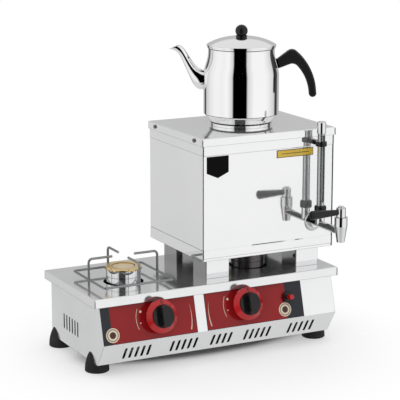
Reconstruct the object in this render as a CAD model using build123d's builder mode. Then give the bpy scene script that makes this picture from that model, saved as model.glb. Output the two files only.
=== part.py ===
from build123d import *
import os
from math import atan2, cos, hypot, radians, sin, tan

os.makedirs("parts", exist_ok=True)

# Sheet and fits, in millimetres like every length below
SHEET = 1.2
LIFT_GAP = 0.3
RUNNING_GAP = 0.1
PRESS_GAP = 0.05
HOLE_GAP = 0.6
OVERRUN = 6.0

# Stove base, standing on the floor at height zero, with its tray's middle behind the origin
TRAY_WIDTH = 540.0
TRAY_DEPTH = 250.0
TRAY_Y = 35.0
TRAY_TOP = 157.0
TRAY_RIM = 17.5
SHEET_BEND = 2.4
CORNER_SLIT = 1.2
CASING_SIDE_INSET = 12.5
CASING_BACK_INSET = 5.0
CASING_FRONT_INSET = 6.0
CASING_BOTTOM = 20.5
KNEE_OUT = 20.0
KNEE_HEIGHT = 67.0
TOE_IN = 31.0

# Controls along the front panel, placed by shares of half the tray's width
LEFT_KNOB_SHARE = -0.512
RIGHT_KNOB_SHARE = 0.19
IGNITER_SHARE = 0.555
KNOB_RISE = 5.3
IGNITER_RISE = 6.0
KNOB_PUSH = 4.0
BUTTON_PUSH = 7.0

# Burners, forward of the tray's middle
LEFT_BURNER_SHARE = -0.604
RIGHT_BURNER_SHARE = 0.43
BURNER_FORWARD = 24.0
CUP_RADIUS = 34.5
BURNER_HOLE_GAP = 5.0

# Boiler, standing on its legs on the tray over the right burner
BOILER_BACKWARD = 6.75
BOILER_WIDTH = 297.0
BOILER_DEPTH = 234.5
BOILER_HEIGHT = 245.0
LEG_HEIGHT = 42.0
MOUTH_RADIUS = 50.0

# Tap and level gauge on the boiler's front, in from its right side and up from its floor
TAP_INSET = 46.1
TAP_RISE = 56.0
TAP_REACH = 104.5
GAUGE_REACH = 27.0

# Teapot, turned so that its spout points left and back
POT_RADIUS = 76.0
POT_RIM = 158.5
POT_WALL = 1.0
SPOUT_BEARING = radians(152.7)

# Sizes that follow from those above
CASING_WIDTH = TRAY_WIDTH - 2 * CASING_SIDE_INSET
CASING_BACK = TRAY_Y + TRAY_DEPTH / 2 - CASING_BACK_INSET
CASING_TOP = TRAY_TOP - SHEET
RIM_BOTTOM = TRAY_TOP - TRAY_RIM
RIM_FRONT = TRAY_DEPTH / 2 - CASING_FRONT_INSET - TRAY_Y
KNEE_FRONT = RIM_FRONT + KNEE_OUT
TOE_FRONT = KNEE_FRONT - TOE_IN
LEAN = atan2(KNEE_FRONT - RIM_FRONT, RIM_BOTTOM - KNEE_HEIGHT)
TUCK = atan2(KNEE_FRONT - TOE_FRONT, KNEE_HEIGHT - CASING_BOTTOM)
PANEL_HEIGHT = hypot(KNEE_FRONT - RIM_FRONT, RIM_BOTTOM - KNEE_HEIGHT)
LEFT_KNOB_X = LEFT_KNOB_SHARE * TRAY_WIDTH / 2
RIGHT_KNOB_X = RIGHT_KNOB_SHARE * TRAY_WIDTH / 2
IGNITER_X = IGNITER_SHARE * TRAY_WIDTH / 2
LEFT_BURNER_X = LEFT_BURNER_SHARE * TRAY_WIDTH / 2
RIGHT_BURNER_X = RIGHT_BURNER_SHARE * TRAY_WIDTH / 2
BURNER_Y = TRAY_Y - BURNER_FORWARD
BOILER_Y = TRAY_Y + BOILER_BACKWARD
KNOB_PLACES = {"left": LEFT_KNOB_X, "right": RIGHT_KNOB_X}
BURNER_PLACES = {"left": (LEFT_BURNER_X, BURNER_Y), "right": (RIGHT_BURNER_X, BURNER_Y)}
BURNER_HOLE_RADIUS = CUP_RADIUS + BURNER_HOLE_GAP
BOILER_X = RIGHT_BURNER_X
BOILER_BOTTOM = TRAY_TOP + LEG_HEIGHT
BOILER_TOP = BOILER_BOTTOM + BOILER_HEIGHT
LID_UNDER = BOILER_TOP - SHEET
BOILER_FRONT = BOILER_Y - BOILER_DEPTH / 2
BOILER_BACK = BOILER_Y + BOILER_DEPTH / 2
TAP_X = BOILER_X + BOILER_WIDTH / 2 - TAP_INSET
TAP_Z = BOILER_BOTTOM + TAP_RISE


def save(piece, name):
    """Label a finished piece and write it as its own STEP file."""
    piece.part.label = name
    export_step(piece.part, f"parts/{name}.step")


def casing_front(height):
    """Y of the base's front, which leans out down to the knee and tucks in below it."""
    angle = LEAN if height > KNEE_HEIGHT else TUCK
    return abs(height - KNEE_HEIGHT) * tan(angle) - KNEE_FRONT


def casing_outline(bottom, top):
    """Side outline of the base between two heights, as points in Y and Z."""
    knee = (-KNEE_FRONT, KNEE_HEIGHT)
    front = [(casing_front(bottom), bottom), knee, (casing_front(top), top)]
    return front + [(CASING_BACK, top), (CASING_BACK, bottom)]


def panel_plane(x, rise=0):
    """Plane on the leaning front panel, with its normal pointing out at the user."""
    middle = (RIM_BOTTOM + KNEE_HEIGHT) / 2
    panel = Plane((x, casing_front(middle), middle), (1, 0, 0), (0, -cos(LEAN), sin(LEAN)))
    return panel.shift_origin(panel.from_local_coords((0, rise, 0)))


def turning_plane(panel):
    """Plane through a control's axis: its X is the radius and its Y the way out of the panel."""
    return Plane(panel.origin, panel.x_dir, -panel.y_dir)


def panel_axis(panel):
    """Axis of a control, pointing out of the panel."""
    return Axis(panel.origin, panel.z_dir)


def flatted_rod(gap):
    """Section of the knob spindle, or of the hole round it, with one flat."""
    Circle(SPINDLE_RADIUS + gap)
    with Locations((0, (SPINDLE_FLAT - SPINDLE_RADIUS) / 2)):
        Rectangle(4 * SPINDLE_RADIUS, SPINDLE_RADIUS + SPINDLE_FLAT + 2 * gap, mode=Mode.INTERSECT)


# Stove casing: one folded wrap, open above and below
VENT_WIDTH = 5.0
VENT_LENGTH = 31.0
VENT_PITCH = 12.8
VENT_DROP = 2.0
FRONT_VENT_SHARES = (-0.703, -0.309, 0.013, 0.328, 0.718)
FRONT_VENT_COUNTS = (5, 5, 4, 5, 5)
SIDE_VENT_PITCH = 13.7
SIDE_VENT_BACKWARD = 21.6
SIDE_VENT_RISE = 46.5
SIDE_VENT_COUNT = 6
SPINDLE_RADIUS = 4.0
SPINDLE_HOLE = SPINDLE_RADIUS + HOLE_GAP
IGNITER_BARREL = 8.0
RAIL_RADIUS = 8.0
RAIL_WALL = 1.5
RAIL_SIDE_INSET = 35.5
RAIL_DROP = 24.0
VALVE_RAIL_DEPTH = 24.0
RAIL_SIDE_X = RAIL_SIDE_INSET - CASING_WIDTH / 2
RAIL_CENTRE = panel_plane(0, KNOB_RISE).from_local_coords((0, -RAIL_DROP, -VALVE_RAIL_DEPTH))
TOE_MIDDLE = (KNEE_HEIGHT + CASING_BOTTOM) / 2
TOE_PLANE = Plane((0, casing_front(TOE_MIDDLE), TOE_MIDDLE), (1, 0, 0), (0, -cos(TUCK), -sin(TUCK)))

with BuildPart() as base_casing:
    with BuildSketch(Plane.YZ.offset(-CASING_WIDTH / 2)):
        Polygon(*casing_outline(CASING_BOTTOM, CASING_TOP), align=None)
    extrude(amount=CASING_WIDTH)
    with BuildSketch(Plane.YZ.offset(SHEET - CASING_WIDTH / 2)):
        Polygon(*casing_outline(CASING_BOTTOM - OVERRUN, CASING_TOP + OVERRUN), align=None)
        offset(amount=-SHEET, kind=Kind.INTERSECTION)
    extrude(amount=CASING_WIDTH - 2 * SHEET, mode=Mode.SUBTRACT)
    with BuildSketch(TOE_PLANE):
        for share, count in zip(FRONT_VENT_SHARES, FRONT_VENT_COUNTS):
            with Locations((share * CASING_WIDTH / 2, -VENT_DROP)):
                with GridLocations(VENT_PITCH, VENT_PITCH, count, 1):
                    SlotOverall(VENT_LENGTH, VENT_WIDTH, rotation=90)
    extrude(amount=OVERRUN, both=True, mode=Mode.SUBTRACT)
    with BuildSketch(Plane.YZ):
        with Locations((TRAY_Y + SIDE_VENT_BACKWARD, CASING_BOTTOM + SIDE_VENT_RISE)):
            with GridLocations(SIDE_VENT_PITCH, SIDE_VENT_PITCH, SIDE_VENT_COUNT, 1):
                SlotOverall(VENT_LENGTH, VENT_WIDTH, rotation=90)
    extrude(amount=CASING_WIDTH, both=True, mode=Mode.SUBTRACT)
    with BuildSketch(panel_plane(0)):
        with Locations((LEFT_KNOB_X, KNOB_RISE), (RIGHT_KNOB_X, KNOB_RISE)):
            Circle(SPINDLE_HOLE)
        with Locations((IGNITER_X, IGNITER_RISE)):
            Circle(IGNITER_BARREL + PRESS_GAP)
    extrude(amount=OVERRUN, both=True, mode=Mode.SUBTRACT)
    with BuildSketch(Plane.XZ.offset(-CASING_BACK)):
        with Locations((RAIL_SIDE_X, RAIL_CENTRE.Z)):
            Circle(RAIL_RADIUS + PRESS_GAP)
    extrude(amount=OVERRUN, both=True, mode=Mode.SUBTRACT)
save(base_casing, "base_casing")

# Bottom plate inside the foot of the casing, with an air hole under each burner
AIR_HOLE_RADIUS = 42.0
PLATE_TOP = CASING_BOTTOM + SHEET
with BuildPart() as bottom_plate:
    with BuildSketch(Plane.YZ.offset(SHEET - CASING_WIDTH / 2)):
        plate_front = [(casing_front(z) + SHEET / cos(TUCK), z) for z in (CASING_BOTTOM, PLATE_TOP)]
        plate_back = [(CASING_BACK - SHEET, z) for z in (PLATE_TOP, CASING_BOTTOM)]
        Polygon(*plate_front, *plate_back, align=None)
    extrude(amount=CASING_WIDTH - 2 * SHEET)
    with BuildSketch(Plane.XY.offset(CASING_BOTTOM)):
        with Locations(*BURNER_PLACES.values()):
            Circle(AIR_HOLE_RADIUS)
    extrude(amount=OVERRUN, both=True, mode=Mode.SUBTRACT)
save(bottom_plate, "bottom_plate")

# Top tray: a folded pan whose rim is open at the corners
with BuildPart() as top_tray:
    with BuildSketch(Plane.XY.offset(RIM_BOTTOM)):
        with Locations((0, TRAY_Y)):
            Rectangle(TRAY_WIDTH, TRAY_DEPTH)
    extrude(amount=TRAY_RIM)
    fillet(top_tray.edges().group_by(Axis.Z)[-1], SHEET_BEND)
    offset(amount=-SHEET, openings=top_tray.faces().sort_by(Axis.Z)[0])
    with BuildSketch(Plane.XY.offset(TRAY_TOP)):
        with Locations(*BURNER_PLACES.values()):
            Circle(BURNER_HOLE_RADIUS)
    extrude(amount=OVERRUN, both=True, mode=Mode.SUBTRACT)
    with BuildSketch(Plane.XY.offset(RIM_BOTTOM)):
        with Locations((0, TRAY_Y)):
            with GridLocations(TRAY_WIDTH - 2 * SHEET - CORNER_SLIT, TRAY_DEPTH, 2, 2):
                Rectangle(CORNER_SLIT, 2 * SHEET_BEND)
    extrude(amount=TRAY_RIM - SHEET_BEND, mode=Mode.SUBTRACT)
save(top_tray, "top_tray")

# Front panel plates, one round each knob
FASCIA_SHEET = 0.8
FASCIA_MARGIN = 0.8
FASCIA_SIDE_INSET = 0.5
FASCIA_GAP = 22.0
FASCIA_GAP_SHARE = -0.1704
FASCIA_PAST_IGNITER = 34.0
FASCIA_BREAK = FASCIA_GAP_SHARE * TRAY_WIDTH / 2
FASCIA_ENDS = {
    "left": (FASCIA_SIDE_INSET - CASING_WIDTH / 2, FASCIA_BREAK - FASCIA_GAP / 2),
    "right": (FASCIA_BREAK + FASCIA_GAP / 2, IGNITER_X + FASCIA_PAST_IGNITER),
}
for side, (start, end) in FASCIA_ENDS.items():
    with BuildPart() as fascia:
        with BuildSketch(panel_plane(0)):
            with Locations(((start + end) / 2, 0)):
                Rectangle(end - start, PANEL_HEIGHT - 2 * FASCIA_MARGIN)
            with Locations((LEFT_KNOB_X, KNOB_RISE), (RIGHT_KNOB_X, KNOB_RISE)):
                Circle(SPINDLE_HOLE, mode=Mode.SUBTRACT)
            with Locations((IGNITER_X, IGNITER_RISE)):
                Circle(IGNITER_BARREL + PRESS_GAP, mode=Mode.SUBTRACT)
        extrude(amount=FASCIA_SHEET)
    save(fascia, f"{side}_fascia")

# Rubber corner feet, each a round dome with the casing's corner let into it
FOOT_RADIUS = 24.0
FOOT_DOME = 47.6
FOOT_OUT = 11.0
FOOT_EDGE = 2.5
FOOT_SETBACK = 33.0
FOOT_X = CASING_WIDTH / 2 + FOOT_OUT - FOOT_RADIUS
FOOT_ROWS = (FOOT_SETBACK - TOE_FRONT, CASING_BACK + FOOT_OUT - FOOT_RADIUS)
with BuildPart() as corner_feet:
    for foot_x in (-FOOT_X, FOOT_X):
        for foot_y in FOOT_ROWS:
            with BuildSketch(Plane((foot_x, foot_y, 0), (1, 0, 0), (0, -1, 0))):
                Ellipse(FOOT_RADIUS, FOOT_DOME)
                Rectangle(FOOT_RADIUS, FOOT_DOME, align=(Align.MIN, Align.MIN), mode=Mode.INTERSECT)
            revolve(axis=Axis((foot_x, foot_y, 0), (0, 0, 1)))
    fillet(corner_feet.edges().group_by(Axis.Z)[0], FOOT_EDGE)
    with BuildSketch(Plane.YZ.offset(-CASING_WIDTH / 2)):
        Polygon(*casing_outline(CASING_BOTTOM, CASING_TOP), align=None)
    extrude(amount=CASING_WIDTH, mode=Mode.SUBTRACT)
save(corner_feet, "corner_feet")

# Gas rail behind the panel, bent back to the inlet at the rear
RAIL_BEND = 30.0
RAIL_END_PAST = 28.0
INLET_NUT_RADIUS = 12.0
INLET_NUT_LENGTH = 12.0
RAIL_STUB = 6.0
HOSE_TAIL_RADIUS = 5.0
HOSE_TAIL_LENGTH = 20.0
HOSE_TAIL_BORE = 3.0
RAIL_BACK = CASING_BACK + RAIL_STUB
rail_turn = (RAIL_SIDE_X, RAIL_CENTRE.Y, RAIL_CENTRE.Z)
rail_start = (RIGHT_KNOB_X + RAIL_END_PAST, RAIL_CENTRE.Y, RAIL_CENTRE.Z)
rail_finish = (RAIL_SIDE_X, RAIL_BACK, RAIL_CENTRE.Z)
with BuildPart() as gas_rail:
    with BuildLine() as rail_path:
        FilletPolyline(rail_start, rail_turn, rail_finish, radius=RAIL_BEND)
    with BuildSketch(Plane(rail_start, (0, 1, 0), (-1, 0, 0))):
        Circle(RAIL_RADIUS)
        Circle(RAIL_RADIUS - RAIL_WALL, mode=Mode.SUBTRACT)
    sweep(path=rail_path.line)
    with BuildSketch(Plane(rail_start, (0, 1, 0), (-1, 0, 0))):
        Circle(RAIL_RADIUS)
    extrude(amount=RAIL_WALL)
    for knob_x in KNOB_PLACES.values():
        port = panel_plane(knob_x, KNOB_RISE)
        port_top = port.from_local_coords((0, -RAIL_DROP, -VALVE_RAIL_DEPTH))
        with BuildSketch(Plane(port_top, port.x_dir, port.y_dir)):
            Circle(HOSE_TAIL_BORE)
        extrude(amount=RAIL_RADIUS + OVERRUN, mode=Mode.SUBTRACT)
save(gas_rail, "gas_rail")

with BuildPart() as gas_inlet:
    with BuildSketch(Plane.XZ.offset(-RAIL_BACK)):
        with Locations((RAIL_SIDE_X, RAIL_CENTRE.Z)):
            RegularPolygon(INLET_NUT_RADIUS, 6)
            Circle(HOSE_TAIL_BORE, mode=Mode.SUBTRACT)
    extrude(amount=-INLET_NUT_LENGTH)
    with BuildSketch(Plane.XZ.offset(-RAIL_BACK - INLET_NUT_LENGTH)):
        with Locations((RAIL_SIDE_X, RAIL_CENTRE.Z)):
            Circle(HOSE_TAIL_RADIUS)
            Circle(HOSE_TAIL_BORE, mode=Mode.SUBTRACT)
    extrude(amount=-HOSE_TAIL_LENGTH)
save(gas_inlet, "gas_inlet")

# Gas valves: a brass body on the rail, closed by a bonnet behind the panel, with a taper plug inside
BONNET = 3.0
BONNET_RADIUS = 15.0
VALVE_RADIUS = 12.0
VALVE_LENGTH = 38.0
VALVE_BACK_WALL = 4.0
VALVE_PORT = 2.5
INLET_BOSS = 6.0
PLUG_RADIUS = 8.0
PLUG_TAPER = 2.5
SPINDLE_FLAT = 2.6
SPINDLE_SEAT = 26.0
VALVE_FRONT = SHEET + BONNET
VALVE_REAR = VALVE_FRONT + VALVE_LENGTH
PLUG_LENGTH = VALVE_LENGTH - VALVE_BACK_WALL
with BuildPart() as valve_bonnets:
    for knob_x in KNOB_PLACES.values():
        with BuildSketch(panel_plane(knob_x, KNOB_RISE).offset(-SHEET)):
            Circle(BONNET_RADIUS)
            Circle(SPINDLE_HOLE, mode=Mode.SUBTRACT)
        extrude(amount=-BONNET)
save(valve_bonnets, "valve_bonnets")

for side, knob_x in KNOB_PLACES.items():
    panel = panel_plane(knob_x, KNOB_RISE)
    front = panel.offset(-VALVE_FRONT)
    boss_top = panel.from_local_coords((0, 0, -VALVE_RAIL_DEPTH))
    down = Plane(boss_top, panel.x_dir, -panel.y_dir)
    with BuildPart() as valve_body:
        with BuildSketch(front):
            Circle(VALVE_RADIUS)
        extrude(amount=-VALVE_LENGTH)
        with BuildSketch(down):
            Circle(INLET_BOSS)
        extrude(amount=RAIL_DROP)
        with BuildSketch(Plane.YZ.offset(knob_x - VALVE_RADIUS)):
            with Locations((RAIL_CENTRE.Y, RAIL_CENTRE.Z)):
                Circle(RAIL_RADIUS + PRESS_GAP)
        extrude(amount=2 * VALVE_RADIUS, mode=Mode.SUBTRACT)
        with BuildSketch(down):
            Circle(VALVE_PORT)
        extrude(amount=RAIL_DROP, mode=Mode.SUBTRACT)
        with BuildSketch(front):
            Circle(PLUG_RADIUS)
        extrude(amount=-PLUG_LENGTH, taper=PLUG_TAPER, mode=Mode.SUBTRACT)
        with BuildSketch(front.offset(-PLUG_LENGTH)):
            Circle(VALVE_PORT)
        extrude(amount=-VALVE_BACK_WALL, mode=Mode.SUBTRACT)
    save(valve_body, f"{side}_valve_body")

    with BuildPart() as valve_plug:
        with BuildSketch(front.offset(-LIFT_GAP)):
            Circle(PLUG_RADIUS - RUNNING_GAP - LIFT_GAP * tan(radians(PLUG_TAPER)))
        extrude(amount=2 * LIFT_GAP - PLUG_LENGTH, taper=PLUG_TAPER)
        with BuildSketch(front.offset(-LIFT_GAP)):
            flatted_rod(RUNNING_GAP)
        extrude(amount=-SPINDLE_SEAT, mode=Mode.SUBTRACT)
        with BuildSketch(Plane(boss_top, panel.y_dir, panel.x_dir)):
            Circle(VALVE_PORT)
        extrude(amount=2 * PLUG_RADIUS, mode=Mode.SUBTRACT)
        with BuildSketch(front.offset(-SPINDLE_SEAT)):
            Circle(VALVE_PORT)
        extrude(amount=-PLUG_LENGTH, mode=Mode.SUBTRACT)
    save(valve_plug, f"{side}_valve_plug")

# Knobs: a black grip on a flatted spindle, in a flared red skirt
KNOB_STANDOFF = 7.0
KNOB_HUB = 9.0
KNOB_RADIUS = 22.5
KNOB_BASE = 21.5
KNOB_PLATE = 6.5
KNOB_GRIP = 15.0
KNOB_BAR = 17.0
KNOB_EDGE = 1.5
SPINDLE_OUT = 24.0
SKIRT_RADIUS = 32.5
SKIRT_SHEET = 2.2
SKIRT_RISE = 6.5
SKIRT_DROP = 3.0
SKIRT_LIP = 1.2
KNOB_SHOULDER = KNOB_BASE + KNOB_PLATE
KNOB_FRONT = KNOB_SHOULDER + KNOB_GRIP
SPINDLE_BACK = VALVE_FRONT + SPINDLE_SEAT - KNOB_PUSH - 2 * LIFT_GAP
for side, knob_x in KNOB_PLACES.items():
    panel = panel_plane(knob_x, KNOB_RISE)
    with BuildPart() as spindle:
        with BuildSketch(panel.offset(-SPINDLE_BACK)):
            flatted_rod(0)
        extrude(amount=SPINDLE_BACK + SPINDLE_OUT)
    save(spindle, f"{side}_spindle")

    with BuildPart() as knob_grip:
        with BuildSketch(panel.offset(KNOB_STANDOFF)):
            Circle(KNOB_HUB)
        extrude(amount=KNOB_BASE - KNOB_STANDOFF)
        with BuildSketch(panel.offset(KNOB_BASE)):
            Circle(KNOB_RADIUS)
        extrude(amount=KNOB_SHOULDER - KNOB_BASE)
        with BuildSketch(panel.offset(KNOB_SHOULDER)):
            SlotOverall(2 * (KNOB_RADIUS - KNOB_EDGE), KNOB_BAR, rotation=90)
        extrude(amount=KNOB_FRONT - KNOB_SHOULDER)
        fillet(knob_grip.faces().sort_by(panel_axis(panel))[-1].edges(), KNOB_EDGE)
        with BuildSketch(panel.offset(KNOB_STANDOFF)):
            flatted_rod(PRESS_GAP)
        extrude(amount=SPINDLE_OUT - KNOB_STANDOFF, mode=Mode.SUBTRACT)
    save(knob_grip, f"{side}_knob_grip")

    with BuildPart() as knob_skirt:
        with BuildSketch(turning_plane(panel)):
            hub = KNOB_HUB + PRESS_GAP
            seat = KNOB_RADIUS + LIFT_GAP
            back = KNOB_BASE - SKIRT_SHEET
            crest = KNOB_BASE + SKIRT_RISE - SKIRT_SHEET
            rim = KNOB_BASE - SKIRT_DROP
            Polygon(
                (hub, back),
                (seat, back),
                (SKIRT_RADIUS, rim - SKIRT_SHEET),
                (SKIRT_RADIUS, rim),
                (seat + SKIRT_LIP, crest),
                (seat, crest),
                (seat, KNOB_BASE),
                (hub, KNOB_BASE),
                align=None,
            )
        revolve(axis=panel_axis(panel))
    save(knob_skirt, f"{side}_knob_skirt")

# Piezo igniter: a barrel with its collar, a nut behind the panel and a sliding button
COLLAR_RADIUS = 11.7
COLLAR_LENGTH = 7.0
COLLAR_EDGE = 1.0
BARREL_BACK = 42.0
NUT_RADIUS = 12.0
NUT_LENGTH = 4.0
BUTTON_RADIUS = 5.2
BUTTON_OUT = 21.0
BUTTON_BACK = 14.0
igniter = panel_plane(IGNITER_X, IGNITER_RISE)
COLLAR_FRONT = FASCIA_SHEET + COLLAR_LENGTH
with BuildPart() as igniter_body:
    with BuildSketch(igniter.offset(-BARREL_BACK)):
        Circle(IGNITER_BARREL)
    extrude(amount=BARREL_BACK + FASCIA_SHEET)
    with BuildSketch(igniter.offset(FASCIA_SHEET)):
        Circle(COLLAR_RADIUS)
    extrude(amount=COLLAR_LENGTH)
    fillet(igniter_body.edges().group_by(panel_axis(igniter))[-1], COLLAR_EDGE)
    with BuildSketch(igniter.offset(COLLAR_FRONT)):
        Circle(BUTTON_RADIUS + RUNNING_GAP)
    extrude(amount=-COLLAR_FRONT - BUTTON_BACK - BUTTON_PUSH - LIFT_GAP, mode=Mode.SUBTRACT)
save(igniter_body, "igniter_body")

with BuildPart() as igniter_nut:
    with BuildSketch(igniter.offset(-SHEET)):
        RegularPolygon(NUT_RADIUS, 6)
        Circle(IGNITER_BARREL + PRESS_GAP, mode=Mode.SUBTRACT)
    extrude(amount=-NUT_LENGTH)
save(igniter_nut, "igniter_nut")

with BuildPart() as igniter_button:
    with BuildSketch(igniter.offset(-BUTTON_BACK)):
        Circle(BUTTON_RADIUS)
    extrude(amount=BUTTON_BACK + BUTTON_OUT)
    fillet(igniter_button.edges().group_by(panel_axis(igniter))[-1], COLLAR_EDGE)
save(igniter_button, "igniter_button")

# Burners: a hanging bracket carries the cup, and the injector feeds the cup's throat from below
BRACKET_DROP = 58.0
BRACKET_WIDTH = 26.0
BRACKET_HALF = 52.0
BRACKET_FOOT = 14.0
THROAT_RADIUS = 11.0
THROAT_LENGTH = 24.0
CUP_WALL = 2.5
CUP_SLOPE = 12.0
CUP_RISE = 27.0
CUP_GROOVE = 1.5
CUP_GROOVE_RISE = 14.0
CAP_OVERHANG = 2.2
CAP_THICK = 5.0
CAP_RECESS = 22.0
CAP_RECESS_DEPTH = 1.2
CAP_BEVEL = 1.6
CAP_SPIGOT = 5.0
CAP_SLOT_WIDTH = 2.0
CAP_SLOT_HEIGHT = 2.2
CAP_SLOT_COUNT = 24
INJECTOR_RADIUS = 8.0
INJECTOR_LENGTH = 12.0
NOZZLE_RADIUS = 5.0
NOZZLE_LENGTH = 10.0
JET_RADIUS = 0.8
ELECTRODE_GAP = 1.3
ELECTRODE_RADIUS = 1.3
ELECTRODE_COLLAR = 4.0
ELECTRODE_COLLAR_LENGTH = 16.0
BRACKET_BASE = TRAY_TOP - BRACKET_DROP
CUP_FLOOR = BRACKET_BASE + THROAT_LENGTH
CUP_SHOULDER = CUP_FLOOR + CUP_SLOPE
CUP_TOP = TRAY_TOP + CUP_RISE
CUP_GROOVE_HEIGHT = TRAY_TOP + CUP_GROOVE_RISE
CAP_RADIUS = CUP_RADIUS + CAP_OVERHANG
ELECTRODE_OFFSET = CUP_RADIUS + ELECTRODE_GAP + ELECTRODE_RADIUS
with BuildPart() as burner_brackets:
    for burner_x, burner_y in BURNER_PLACES.values():
        with BuildSketch(Plane.XZ.offset(-burner_y - BRACKET_WIDTH / 2)):
            with Locations((burner_x, BRACKET_BASE)):
                Rectangle(2 * BRACKET_HALF, SHEET, align=(Align.CENTER, Align.MAX))
            for sign in (-1, 1):
                with Locations((burner_x + sign * (BRACKET_HALF - SHEET / 2), BRACKET_BASE - SHEET)):
                    Rectangle(SHEET, CASING_TOP - BRACKET_BASE + SHEET, align=(Align.CENTER, Align.MIN))
                with Locations((burner_x + sign * (BRACKET_HALF + BRACKET_FOOT / 2), CASING_TOP)):
                    Rectangle(BRACKET_FOOT, SHEET, align=(Align.CENTER, Align.MAX))
        extrude(amount=BRACKET_WIDTH)
        with BuildSketch(Plane.XY.offset(BRACKET_BASE)):
            with Locations((burner_x, burner_y)):
                Circle(NOZZLE_RADIUS + PRESS_GAP)
        extrude(amount=-OVERRUN, mode=Mode.SUBTRACT)
save(burner_brackets, "burner_brackets")

with BuildPart() as burner_injectors:
    for place in BURNER_PLACES.values():
        with BuildSketch(Plane.XY.offset(BRACKET_BASE - SHEET)):
            with Locations(place):
                RegularPolygon(INJECTOR_RADIUS, 6)
        extrude(amount=-INJECTOR_LENGTH)
        with BuildSketch(Plane.XY.offset(BRACKET_BASE - SHEET)):
            with Locations(place):
                Circle(NOZZLE_RADIUS)
        extrude(amount=NOZZLE_LENGTH)
        with BuildSketch(Plane.XY.offset(BRACKET_BASE - SHEET)):
            with Locations(place):
                Circle(JET_RADIUS)
        extrude(amount=NOZZLE_LENGTH, mode=Mode.SUBTRACT)
        with BuildSketch(Plane.XY.offset(BRACKET_BASE - SHEET)):
            with Locations(place):
                Circle(VALVE_PORT)
        extrude(amount=-INJECTOR_LENGTH, mode=Mode.SUBTRACT)
save(burner_injectors, "burner_injectors")

PIPE_RADIUS = 4.0
PIPE_BEND = 12.0
PIPE_LEAD = 22.0
PIPE_RISE = 32.0
INJECTOR_BOTTOM = BRACKET_BASE - SHEET - INJECTOR_LENGTH
for side, (burner_x, burner_y) in BURNER_PLACES.items():
    axis_z = Axis((burner_x, burner_y, 0), (0, 0, 1))
    section = Plane((burner_x, burner_y, 0), (1, 0, 0), (0, -1, 0))
    with BuildPart() as burner_cup:
        with BuildSketch(section):
            Polygon(
                (THROAT_RADIUS, BRACKET_BASE),
                (THROAT_RADIUS, CUP_FLOOR),
                (CUP_RADIUS, CUP_SHOULDER),
                (CUP_RADIUS, CUP_GROOVE_HEIGHT - CUP_GROOVE),
                (CUP_RADIUS - CUP_GROOVE, CUP_GROOVE_HEIGHT - CUP_GROOVE),
                (CUP_RADIUS - CUP_GROOVE, CUP_GROOVE_HEIGHT),
                (CUP_RADIUS, CUP_GROOVE_HEIGHT),
                (CUP_RADIUS, CUP_TOP),
                (CUP_RADIUS - CUP_WALL, CUP_TOP),
                (CUP_RADIUS - CUP_WALL, CUP_SHOULDER + CUP_WALL),
                (THROAT_RADIUS - CUP_WALL, CUP_FLOOR + CUP_WALL),
                (THROAT_RADIUS - CUP_WALL, BRACKET_BASE),
                align=None,
            )
        revolve(axis=axis_z)
    save(burner_cup, f"{side}_burner_cup")

    spigot = CUP_RADIUS - CUP_WALL - LIFT_GAP
    with BuildPart() as burner_cap:
        with BuildSketch(section):
            Polygon(
                (0, CUP_TOP),
                (spigot - CUP_WALL, CUP_TOP),
                (spigot - CUP_WALL, CUP_TOP - CAP_SPIGOT),
                (spigot, CUP_TOP - CAP_SPIGOT),
                (spigot, CUP_TOP),
                (CAP_RADIUS, CUP_TOP),
                (CAP_RADIUS, CUP_TOP + CAP_THICK - CAP_BEVEL),
                (CAP_RADIUS - CAP_BEVEL, CUP_TOP + CAP_THICK),
                (CAP_RECESS + CAP_RECESS_DEPTH, CUP_TOP + CAP_THICK),
                (CAP_RECESS, CUP_TOP + CAP_THICK - CAP_RECESS_DEPTH),
                (0, CUP_TOP + CAP_THICK - CAP_RECESS_DEPTH),
                align=None,
            )
        revolve(axis=axis_z)
        with BuildSketch(Plane.XY.offset(CUP_TOP)):
            with Locations((burner_x, burner_y)):
                with PolarLocations(CAP_RADIUS, CAP_SLOT_COUNT):
                    Rectangle(2 * (CAP_RADIUS - spigot) + 2 * CUP_WALL, CAP_SLOT_WIDTH)
        extrude(amount=CAP_SLOT_HEIGHT, mode=Mode.SUBTRACT)
    save(burner_cap, f"{side}_burner_cap")

    valve_panel = panel_plane(KNOB_PLACES[side], KNOB_RISE)
    pipe_start = valve_panel.from_local_coords((0, 0, -VALVE_REAR))
    pipe_lead = valve_panel.from_local_coords((0, 0, -VALVE_REAR - PIPE_LEAD))
    pipe_low = (burner_x, burner_y, INJECTOR_BOTTOM - PIPE_RISE)
    pipe_top = (burner_x, burner_y, INJECTOR_BOTTOM)
    with BuildPart() as gas_pipe:
        with BuildLine() as pipe_path:
            FilletPolyline(pipe_start, pipe_lead, pipe_low, pipe_top, radius=PIPE_BEND)
        with BuildSketch(valve_panel.offset(-VALVE_REAR)):
            Circle(PIPE_RADIUS)
            Circle(VALVE_PORT, mode=Mode.SUBTRACT)
        sweep(path=pipe_path.line)
    save(gas_pipe, f"{side}_gas_pipe")

with BuildPart() as spark_electrode:
    with BuildSketch(Plane.XY.offset(BRACKET_BASE)):
        with Locations((RIGHT_BURNER_X + ELECTRODE_OFFSET, BURNER_Y)):
            Circle(ELECTRODE_COLLAR)
    extrude(amount=ELECTRODE_COLLAR_LENGTH)
    with BuildSketch(Plane.XY.offset(BRACKET_BASE)):
        with Locations((RIGHT_BURNER_X + ELECTRODE_OFFSET, BURNER_Y)):
            Circle(ELECTRODE_RADIUS)
    extrude(amount=CUP_TOP - BRACKET_BASE - CAP_SLOT_HEIGHT)
save(spark_electrode, "spark_electrode")

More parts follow.
